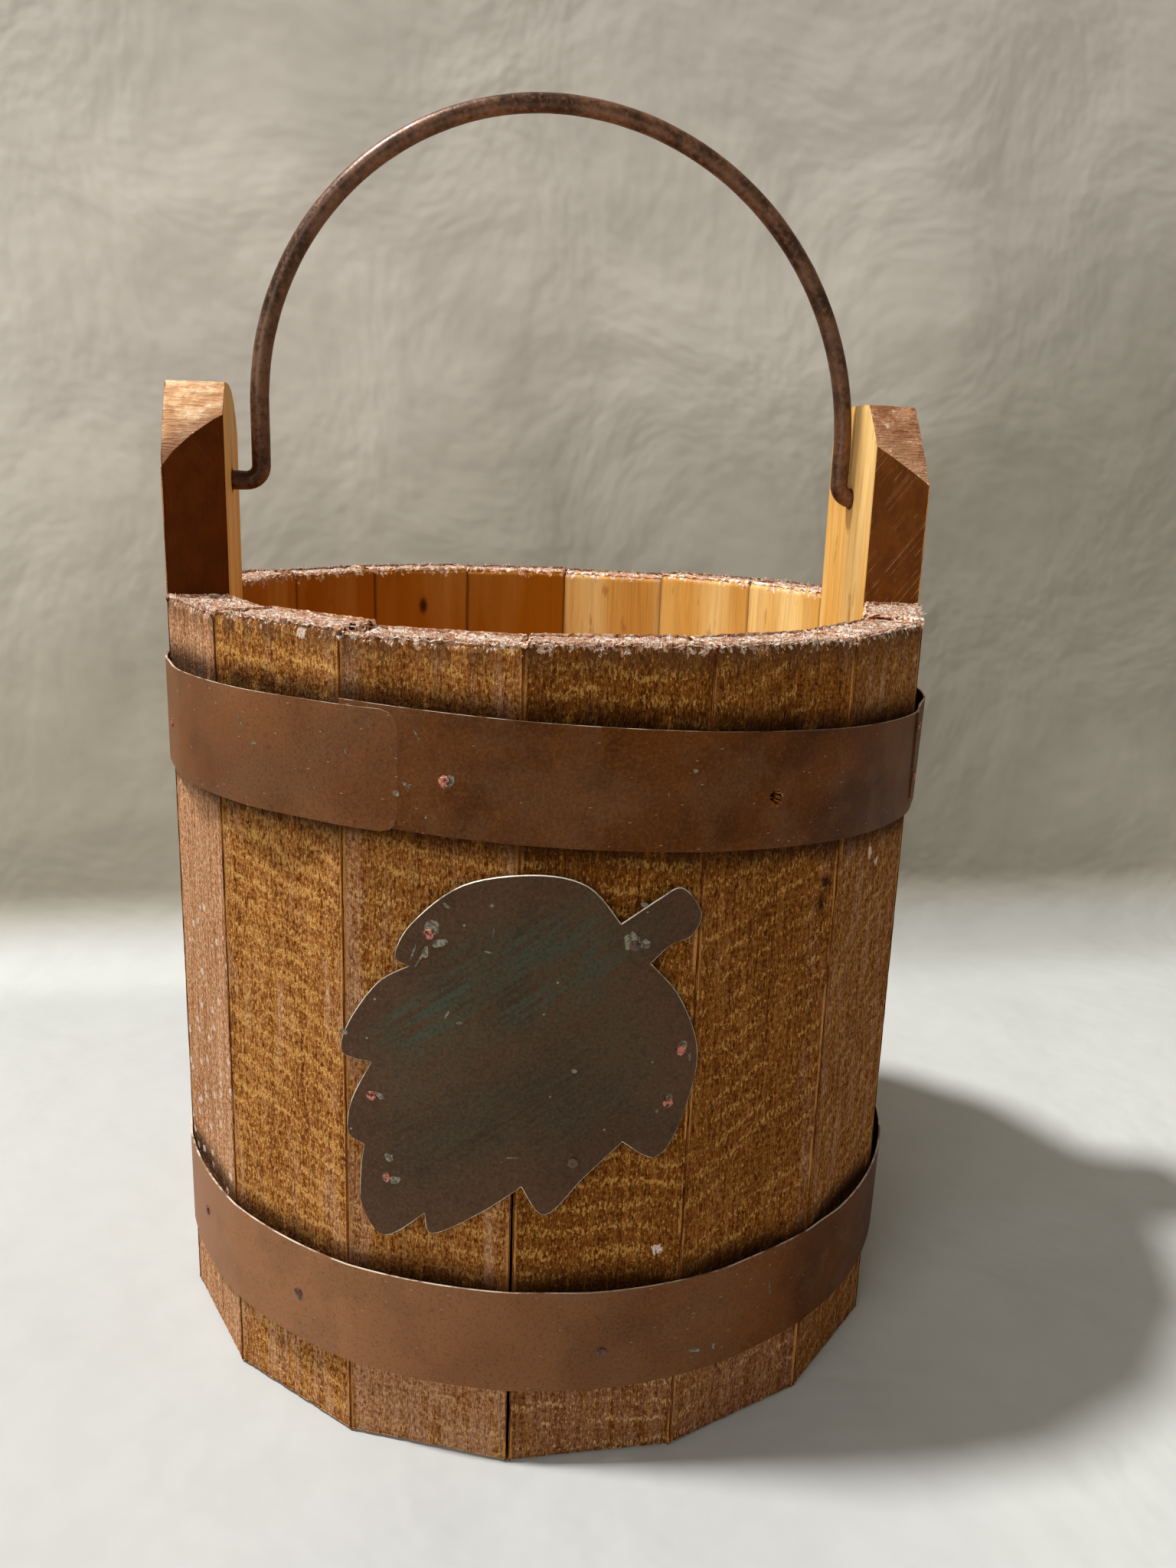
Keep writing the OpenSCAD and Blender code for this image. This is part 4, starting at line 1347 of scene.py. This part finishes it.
leaf = {
    "at": 258.75,
    "foot": 0.07375,
    "share": 0.00114657,
    "thick": 0.0006,
    "cell": 0.0028,
    "steps": 6,
    "wornEdge": 0.00022,
    "lift": 0.0005,  # how far the tips stand off
    "band": (-0.004, 0.081, 33, 0.012, 0.046),  # brushed green: across, up, slant, half its width and length
    "lobes": [
        [(-26.6, 74.7), (-30.1, 76.9), (-25.8, 85.6), (-13.1, 96.5), (3.5, 100), (16.2, 97.4), (24.5, 87.8)],
        [(24.5, 87.8), (33.6, 93.9), (39.3, 96.1), (44.5, 89.5), (42.4, 83.8), (37.1, 81.7), (32.3, 77.3)],
        [(32.3, 77.3), (40.6, 67.2), (45.9, 51.5), (41.9, 33.2), (35.8, 24.9), (27.1, 30.1)],
        [(27.1, 30.1), (17.9, 21), (8.3, 10.5), (2.2, 18.3)],
        [(2.2, 18.3), (-8.3, 10), (-20.1, 3.1), (-22.3, 8.3)],
        [(-22.3, 8.3), (-33.2, 0), (-39.5, 7), (-39.8, 16.6), (-38.9, 24.5)],
        [(-38.9, 24.5), (-43.5, 27.1), (-42.4, 36.2), (-36.7, 47.6)],
        [(-36.7, 47.6), (-45, 48.5), (-43.2, 56.8), (-34.9, 69), (-26.6, 74.7)],
    ],
}
leafRadius = cornerRadius + 0.00015


def smoothBetween(a, b, c, d, u):
    return (2 * b + (c - a) * u + (2 * a - 5 * b + 4 * c - d) * u * u + (3 * b - a - 3 * c + d) * u ** 3) / 2


def leafLine():
    line = []
    for lobe in leaf["lobes"]:
        for i in range(len(lobe) - 1):
            near = lobe[max(i - 1, 0)], lobe[i], lobe[i + 1], lobe[min(i + 2, len(lobe) - 1)]
            for k in range(leaf["steps"]):
                point = [smoothBetween(*[place[axis] for place in near], k / leaf["steps"]) for axis in (0, 1)]
                line.append(Vector(point) * leaf["share"])
    return line


def leafOffset(angle, up):
    across = math.radians(angle - leaf["at"]) * leafRadius
    far = math.hypot(across, up - 50 * leaf["share"])
    return leaf["lift"] * fade(far, 0.062, 0.048)


def bandAt(co):
    across, up, slant, halfWidth, halfLength = leaf["band"]
    turn = math.radians(slant)
    along = (co.x - across) * math.cos(turn) + (co.z - up) * math.sin(turn)
    off = (co.z - up) * math.cos(turn) - (co.x - across) * math.sin(turn)
    return fade(abs(off), halfWidth * 0.4, halfWidth * 1.6) * fade(abs(along), halfLength * 0.6, halfLength * 1.2)


def makeLeaf():
    line = leafLine()
    deselectAll()
    bpy.ops.mesh.primitive_circle_add(vertices=len(line), radius=0.05, fill_type="NGON")
    piece = bpy.context.object
    piece.name = "leaf_plate_sheet"
    for vertex, point in zip(piece.data.vertices, line):
        vertex.co = (point.x, 0, point.y)
    height = 100 * leaf["share"]
    cutGrid(piece, Vector((1, 0, 0)), evenly(-0.052, 0.053, int(0.105 / leaf["cell"])))
    cutGrid(piece, Vector((0, 0, 1)), evenly(0, height, int(height / leaf["cell"])))
    finishWith(piece, "SOLIDIFY", thickness=leaf["thick"], offset=0)
    startEdit(piece)
    bpy.ops.mesh.normals_make_consistent(inside=False)
    endEdit()
    finishWith(
        piece, "BEVEL", width=leaf["wornEdge"], segments=1, limit_method="ANGLE",
        angle_limit=math.radians(60), use_clamp_overlap=False
    )
    bareEdges(piece, leafSteel, chippedEdge)
    paint(piece, "leafMiddle", lambda co: fade(
        min((Vector((co.x, co.z)) - point).length for point in line), 0.016, 0.003
    ))
    paint(piece, "leafBand", bandAt)
    wrapRound(piece, leafRadius + leaf["thick"] / 2, leaf["at"], leaf["foot"], offset=leafOffset)
    makeActive(piece)
    bpy.ops.object.shade_smooth_by_angle(angle=math.radians(40))
    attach(piece, "pail")
    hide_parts("leaf_plate")


makeLeaf()
print("leaf plate made")


# Nails: each has a shank and a hammered head, with paint chipped off the sheet round it

nail = {
    "head": 0.00165,
    "rise": 0.0007,
    "shank": 0.0009,
    "length": 0.019,
    "onFront": [(249.8, -0.045)],
    "onBack": [(197.4, -0.07), (150, 0), (90, 0), (30, 0), (328.2, 0.28), (328.2, -0.21)],
    "onLower": [(202.9, 0.045), (227.7, -0.01), (270.8, -0.11), (0, 0), (45, 0), (135, 0)],
    "onLap": [(96, 0.24), (96, -0.24)],
    "onLeaf": [(-21.1, 83.5), (27.6, 82.2), (40.3, 53.7), (37.6, 39.7), (14.8, 25.2), (-35.9, 38.5), (-32, 16.7)],
}


def makeNail(at, height, radius):
    deselectAll()
    bpy.ops.mesh.primitive_cylinder_add(
        vertices=10, radius=nail["shank"], depth=nail["length"], location=(0, 0, -nail["length"] / 2)
    )
    piece = bpy.context.object
    settle(piece)
    startEdit(piece, "FACE")
    pick(piece, "FACE", lambda face: face.normal.z > 0.9)
    wide = nail["head"] / nail["shank"]
    bpy.ops.mesh.extrude_region_move()
    bpy.ops.transform.resize(value=(wide, wide, 1))
    bpy.ops.mesh.extrude_region_move(TRANSFORM_OT_translate={"value": (0, 0, nail["rise"] * 0.7)})
    bpy.ops.mesh.extrude_region_move(TRANSFORM_OT_translate={"value": (0, 0, nail["rise"] * 0.25)})
    bpy.ops.transform.resize(value=(0.72, 0.72, 1))
    bpy.ops.mesh.inset(thickness=nail["head"] * 0.3, depth=0)
    endEdit()
    for vertex in piece.data.vertices:
        if vertex.co.z > -0.0001:
            vertex.co.x *= random.uniform(0.8, 1.06)
            vertex.co.y *= random.uniform(0.8, 1.06)
        if vertex.co.z > nail["rise"] * 0.5:
            vertex.co.z *= random.uniform(0.6, 1.0)
    spin = Matrix.Rotation(random.uniform(0, 6), 4, "Z")
    lie = Matrix.Rotation(math.pi / 2, 4, "Y")
    piece.matrix_world = (
        Matrix.Rotation(math.radians(at), 4, "Z") @ Matrix.Translation((radius, 0, height)) @ lie @ spin
    )
    settle(piece)
    return piece


def joinNails(name, pieces, node, material=None):
    deselectAll()
    for piece in pieces:
        piece.select_set(True)
    bpy.context.view_layer.objects.active = pieces[0]
    bpy.ops.object.join()
    joined = bpy.context.object
    joined.name = name
    joined.data.materials.append(material or nailMetal)
    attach(joined, "pail")
    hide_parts(node)


def makeNails():
    random.seed(11)
    outside = hoopRadius + hoop["thick"] - 0.0001
    backOutside = outside + hoop["thick"] + hoop["lapPlay"]
    upper = [makeNail(at, stripHeight(hoop["front"], at, up), outside) for at, up in nail["onFront"]]
    for at, up in nail["onBack"]:
        reach = backOutside + backOffset(at, up * hoop["width"])
        upper.append(makeNail(at, stripHeight(hoop["back"], at, up), reach))
    joinNails("upper_hoop_nail_heads", upper, "upper_hoop_nails")
    lower = []
    for at, up in nail["onLower"]:
        reach = outside + lowerOffset(at, up * hoop["width"])
        lower.append(makeNail(at, stripHeight(hoop["lower"], at, up), reach))
    for at, up in nail["onLap"]:
        lower.append(makeNail(at, stripHeight(hoop["lower"], at, up), outside + hoop["thick"]))
    joinNails("lower_hoop_nail_heads", lower, "lower_hoop_nails", darkNail)
    leafOutside = leafRadius + leaf["thick"] - 0.0001
    heads = []
    for along, up in nail["onLeaf"]:
        at = leaf["at"] + math.degrees(math.asin(along * leaf["share"] / leafRadius))
        heads.append(makeNail(at, leaf["foot"] + up * leaf["share"], leafOutside))
    joinNails("leaf_nail_heads", heads, "leaf_plate_nails")


# Flakes and scratches where the paint came off a sheet: across and up on the sheet, width, height, lean
# in millimetres and degrees; on the leaf they are measured from the middle of its foot

flakes = {
    "thick": 0.00006,
    "leaf": [
        (-23.6, 97.6, 4.6, 5.6, 20), (-21.5, 93.4, 5.4, 3.2, -20), (31.0, 95.6, 5.6, 6.4, 10),
        (35.2, 94.6, 3.6, 3.2, 0), (47.8, 63.0, 3.4, 4.2, -40), (44.6, 47.4, 2.2, 2.8, 10),
        (41.0, 43.4, 1.2, 1.6, 0), (-39.5, 44.6, 4.4, 2.0, 25), (-34.8, 18.6, 4.4, 3.2, -20),
        (-36.6, 25.6, 3.8, 3.0, 15), (-28.9, 90.2, 0.7, 7.0, 20), (-26.6, 89.0, 0.6, 8.6, 28),
        (-25.4, 90.4, 2.4, 4.2, 0), (-19.2, 72.6, 0.8, 3.2, 25), (-15.6, 70.4, 2.2, 1.0, 0),
        (-6.6, 97.4, 0.5, 3.4, 8), (-8.0, 92.0, 2.6, 0.5, 10), (16.6, 57.4, 2.0, 1.6, 0),
        (-50.8, 62.2, 3.6, 2.2, 10), (-0.6, 30.2, 5.0, 0.5, -5), (-7.0, 105.4, 1.6, 1.8, 0),
        (-19.6, 104.4, 2.4, 1.2, 40), (50.2, 59.0, 1.0, 3.2, 5), (34.2, 106.2, 2.4, 1.6, 20),
    ],
    "frontStrip": [
        (249.9, -0.055, 4.4, 4.6, 0), (250.6, -0.03, 2.6, 3.4, -20), (243.9, -0.2, 2.6, 2.0, 10),
        (245.1, -0.12, 3.4, 1.2, 30), (242.9, -0.15, 1.2, 1.2, 0), (279.4, 0.18, 1.6, 1.4, 0),
        (246.4, 0.3, 0.5, 3.6, -35), (247.6, -0.36, 0.8, 1.2, 0), (276.2, -0.02, 0.5, 2.4, 0),
    ],
    "backStrip": [
        (197.2, -0.1, 2.6, 4.2, 0), (203.4, 0.3, 1.4, 1.4, 0), (221.0, 0.22, 0.9, 3.6, -35),
        (223.2, 0.06, 3.4, 1.4, 10), (237.4, 0.12, 0.5, 2.6, -20), (240.6, 0.34, 0.5, 1.6, -30),
    ],
    "lowerStrip": [
        (227.9, -0.06, 2.4, 2.6, 0), (270.9, -0.12, 2.6, 2.8, 0), (203.0, 0.03, 2.6, 3.0, 0),
        (296.4, 0.1, 0.4, 9.0, -8), (284.0, -0.28, 6.0, 1.6, 15), (287.0, -0.3, 1.4, 2.6, 10),
    ],
}


def makeFlake(width, height, lean, across, up):
    deselectAll()
    bpy.ops.mesh.primitive_circle_add(vertices=11, radius=0.5, fill_type="NGON", rotation=(math.pi / 2, 0, 0))
    piece = bpy.context.object
    settle(piece)
    for vertex in piece.data.vertices:
        vertex.co *= random.uniform(0.62, 1.0)
    piece.matrix_world = (
        Matrix.Translation((across, 0, up)) @ Matrix.Rotation(math.radians(lean), 4, "Y")
        @ Matrix.Diagonal((width / 1000, 1, height / 1000, 1))
    )
    settle(piece)
    finishWith(piece, "SOLIDIFY", thickness=flakes["thick"], offset=0)
    return piece


def joinFlakes(name, pieces):
    deselectAll()
    for piece in pieces:
        piece.select_set(True)
    bpy.context.view_layer.objects.active = pieces[0]
    bpy.ops.object.join()
    joined = bpy.context.object
    joined.name = name
    joined.data.materials.append(flakedPaint)
    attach(joined, "pail")


def makeFlakes():
    random.seed(5)
    pieces = []
    surface = leafRadius + leaf["thick"] + flakes["thick"] / 2
    for across, up, width, height, lean in flakes["leaf"]:
        piece = makeFlake(width, height, lean, across / 1000, up / 1000)
        wrapRound(piece, surface, leaf["at"], leaf["foot"], offset=leafOffset)
        pieces.append(piece)
    joinFlakes("leaf_paint_flakes", pieces)
    pieces = []
    for key, offset in (("front", frontOffset), ("back", backOffset), ("lower", lowerOffset)):
        values = hoop[key]
        surface = hoopRadius + hoop["thick"] * (2 if key == "back" else 1) + flakes["thick"] / 2
        for at, share, width, height, lean in flakes[key + "Strip"]:
            piece = makeFlake(width, height, lean, 0, share * hoop["width"])
            wrapRound(piece, surface, at, values["height"], values["lean"], values["leanBack"], offset)
            pieces.append(piece)
    joinFlakes("hoop_paint_flakes", pieces)


makeNails()
print("nails made")
makeFlakes()
print("paint flakes made")


# The bail: a round rod, run round its path and hammered a little

bail = {
    "rod": 0.00635,
    "hole": 0.2863,
    "leftLeg": -0.09909,
    "rightLeg": 0.10419,
    "top": -0.00125,
    "shoulder": 0.09784,
    "sweep": 0.10544,
    "leftRise": 0.0244,
    "rightRise": 0.0168,
    "bend": 0.005,
    "pin": 0.0225,
    "dents": 0.00018,
}


def runRod(length, steps, axis):
    for i in range(steps):
        bpy.ops.mesh.extrude_region_move(TRANSFORM_OT_translate={"value": Vector(axis) * length / steps})


def turnRod(x, z, degrees, steps):
    bpy.ops.mesh.spin(
        steps=steps, angle=math.radians(degrees), center=(x, 0, bail["hole"] + z), axis=(0, 1, 0)
    )


def makeBail():
    deselectAll()
    start = bail["leftLeg"] - bail["pin"]
    bpy.ops.mesh.primitive_circle_add(
        vertices=16, radius=bail["rod"] / 2, fill_type="NGON", rotation=(0, math.pi / 2, 0),
        location=(start, 0, bail["hole"])
    )
    piece = bpy.context.object
    piece.name = "bail_rod_bent"
    settle(piece)
    startEdit(piece, "FACE")
    straight = bail["pin"] - bail["bend"]
    runRod(straight, 6, (1, 0, 0))
    turnRod(bail["leftLeg"] - bail["bend"], bail["bend"], 90, 8)
    runRod(bail["leftRise"] - bail["bend"], 6, (0, 0, 1))
    turnRod(bail["top"], bail["leftRise"], -90, 48)
    turnRod(bail["top"], bail["rightRise"], -90, 48)
    runRod(bail["rightRise"] - bail["bend"], 4, (0, 0, -1))
    turnRod(bail["rightLeg"] + bail["bend"], bail["bend"], 90, 8)
    runRod(straight, 6, (1, 0, 0))
    bpy.ops.mesh.select_all(action="SELECT")
    bpy.ops.mesh.remove_doubles(threshold=0.00001)
    bpy.ops.mesh.normals_make_consistent(inside=False)
    endEdit()
    weigh(piece, "all", lambda co: 1 if abs(co.x) < 0.107 else 0)
    roughen(piece, "all", bail["dents"], (0.006, 0.006, 0.006), (0.3, 0.1, 0.2), 2)
    piece.data.materials.append(rodSteel)
    makeActive(piece)
    bpy.ops.object.shade_smooth_by_angle(angle=math.radians(50))
    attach(piece, "bail")
    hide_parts("bail_handle")
    low = min(vertex.co.z for vertex in piece.data.vertices)
    high = max(vertex.co.z for vertex in piece.data.vertices)
    print("bail made, from", round(low, 4), "to", round(high, 4))


makeBail()


# The bottom board keeps its shape

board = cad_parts["bottom_board"]
board.data.materials.clear()
board.data.materials.append(boardWood)


# Floor, backdrop and light

studio = {
    "floor": colour(189, 190, 187),
    # painted light: the floor lighter towards the right and at the horizon on the left
    "floorLit": colour(202, 203, 199),
    # painted shade on the far floor to the right
    "floorFarShade": colour(150, 148, 138),
    "backdropLow": colour(192, 185, 167),
    # painted shade: the backdrop a little darker to the right
    "backdropShadedRight": colour(187, 180, 165),
    # painted light: the backdrop lighter towards the top
    "backdropLitTop": colour(227, 220, 208),
    "horizon": 0.305,  # metres behind the pail
    "curve": 0.04,  # radius where the floor turns up into the backdrop
    "half": 4.0,
    "height": 2.4,
    "ambient": 0.19,
    "ambientTone": (1, 0.91, 0.75, 1),
    "key": 148.0,
    "fill": 8.5,
}


def makePaper():
    # One sheet for floor and backdrop, with light and shade painted into its colour: the floor brighter to the right
    # and at the horizon on the left, darker on the far floor to the right, and the backdrop brighter to the top and a
    # little darker to the right; with soft wrinkles; from behind it can be looked through
    look = studio
    material, tree, shader = newMaterial("paper")
    place = addNode(tree, "ShaderNodeTexCoord").outputs["Object"]
    parts = addNode(tree, "ShaderNodeSeparateXYZ", {0: place})
    across, back, up = parts.outputs
    soft = cloud(tree, place, 4.5, 3, 0.5, 0.2)
    fine = cloud(tree, place, 60.0, 3, 0.6)
    wall = window(tree, up, 0.004, look["curve"])
    # Painted light: a glow along the horizon on the left, and the floor lighter towards the right
    glow = calc(tree, "MULTIPLY", window(tree, back, 0.22, 0.262), window(tree, across, 0.05, -0.25))
    floor = blendColour(
        tree, calc(tree, "MAXIMUM", glow, window(tree, across, 0.02, 0.16)), look["floor"], look["floorLit"]
    )
    # Painted shade on the far floor to the right of the pail
    farShadeMask = calc(tree, "MULTIPLY", window(tree, back, 0.2, 0.28), window(tree, across, 0.08, 0.3))
    floor = blendColour(tree, calc(tree, "MULTIPLY", farShadeMask, 0.6), floor, look["floorFarShade"])
    # Painted light and shade on the backdrop: a little darker to the right, lighter towards the top
    low = blendColour(tree, window(tree, across, -0.25, 0.4), look["backdropLow"], look["backdropShadedRight"])
    rising = calc(tree, "MULTIPLY_ADD", across, -0.2, up)
    rising = calc(tree, "MULTIPLY_ADD", calc(tree, "SUBTRACT", soft, 0.5), 0.25, rising)
    behind = blendColour(tree, window(tree, rising, 0.18, 0.42), low, look["backdropLitTop"])
    base = blendColour(tree, wall, floor, behind)
    shade = calc(tree, "MULTIPLY", window(tree, soft, 0.6, 0.42), calc(tree, "MULTIPLY_ADD", wall, 0.13, 0.03))
    shade = calc(tree, "MULTIPLY_ADD", window(tree, fine, 0.6, 0.4), 0.02, shade)
    base = blendColour(tree, shade, base, colour(60, 56, 48))
    tree.links.new(base, shader.inputs["Base Color"])
    shader.inputs["Roughness"].default_value = 0.9
    shader.inputs["Specular IOR Level"].default_value = 0.1
    creases = cloud(tree, place, 9.0, 4, 0.5, 0.3)
    relief(tree, shader, calc(tree, "MULTIPLY_ADD", fine, 0.02, creases), 0.007, 1.0)
    end = next(node for node in tree.nodes if node.type == "OUTPUT_MATERIAL")
    clear = addNode(tree, "ShaderNodeBsdfTransparent")
    seenFromBehind = addNode(tree, "ShaderNodeNewGeometry").outputs["Backfacing"]
    mixed = addNode(
        tree, "ShaderNodeMixShader", {0: seenFromBehind, 1: shader.outputs[0], 2: clear.outputs[0]}
    )
    tree.links.new(mixed.outputs[0], end.inputs[0])
    return material


def addSheet(material):
    half = studio["half"]
    turnAt = studio["horizon"] - studio["curve"]
    deselectAll()
    bpy.ops.mesh.primitive_plane_add(size=1, location=(0, (turnAt - half) / 2, 0))
    sheet = bpy.context.object
    sheet.name = "floor_and_backdrop"
    sheet.scale = (2 * half, half + turnAt, 1)
    settle(sheet)
    startEdit(sheet)
    pick(sheet, "EDGE", lambda edge: all(vertex.co.y > turnAt - 0.001 for vertex in edge.verts))
    bpy.ops.mesh.spin(
        steps=16, angle=-math.pi / 2, center=(0, turnAt, studio["curve"]), axis=(1, 0, 0)
    )
    rise = studio["height"] - studio["curve"]
    bpy.ops.mesh.extrude_region_move(TRANSFORM_OT_translate={"value": (0, 0, rise)})
    endEdit()
    makeActive(sheet)
    bpy.ops.object.shade_smooth_by_angle(angle=math.radians(30))
    sheet.data.materials.append(material)
    return sheet


def addLamp(name, place, aim, size, power):
    lamp = bpy.data.objects.new(name, bpy.data.lights.new(name, "AREA"))
    bpy.context.scene.collection.objects.link(lamp)
    lamp.data.shape = "DISK"
    lamp.data.size = size
    lamp.data.energy = power
    lamp.location = place
    lamp.rotation_euler = (Vector(aim) - Vector(place)).to_track_quat("-Z", "Y").to_euler()


def makeStudio():
    addSheet(makePaper())
    world = bpy.data.worlds.new("room")
    world.use_nodes = True
    world.node_tree.nodes["Background"].inputs[0].default_value = studio["ambientTone"]
    world.node_tree.nodes["Background"].inputs[1].default_value = studio["ambient"]
    bpy.context.scene.world = world
    addLamp("keyLamp", (-1.44, 0.14, 3.25), (0, 0, 0.1), 0.36, studio["key"])
    addLamp("fillLamp", (-0.9, -1.3, 0.9), (0, 0, 0.15), 1.2, studio["fill"])


makeStudio()
bpy.context.scene.view_settings.view_transform = "Standard"
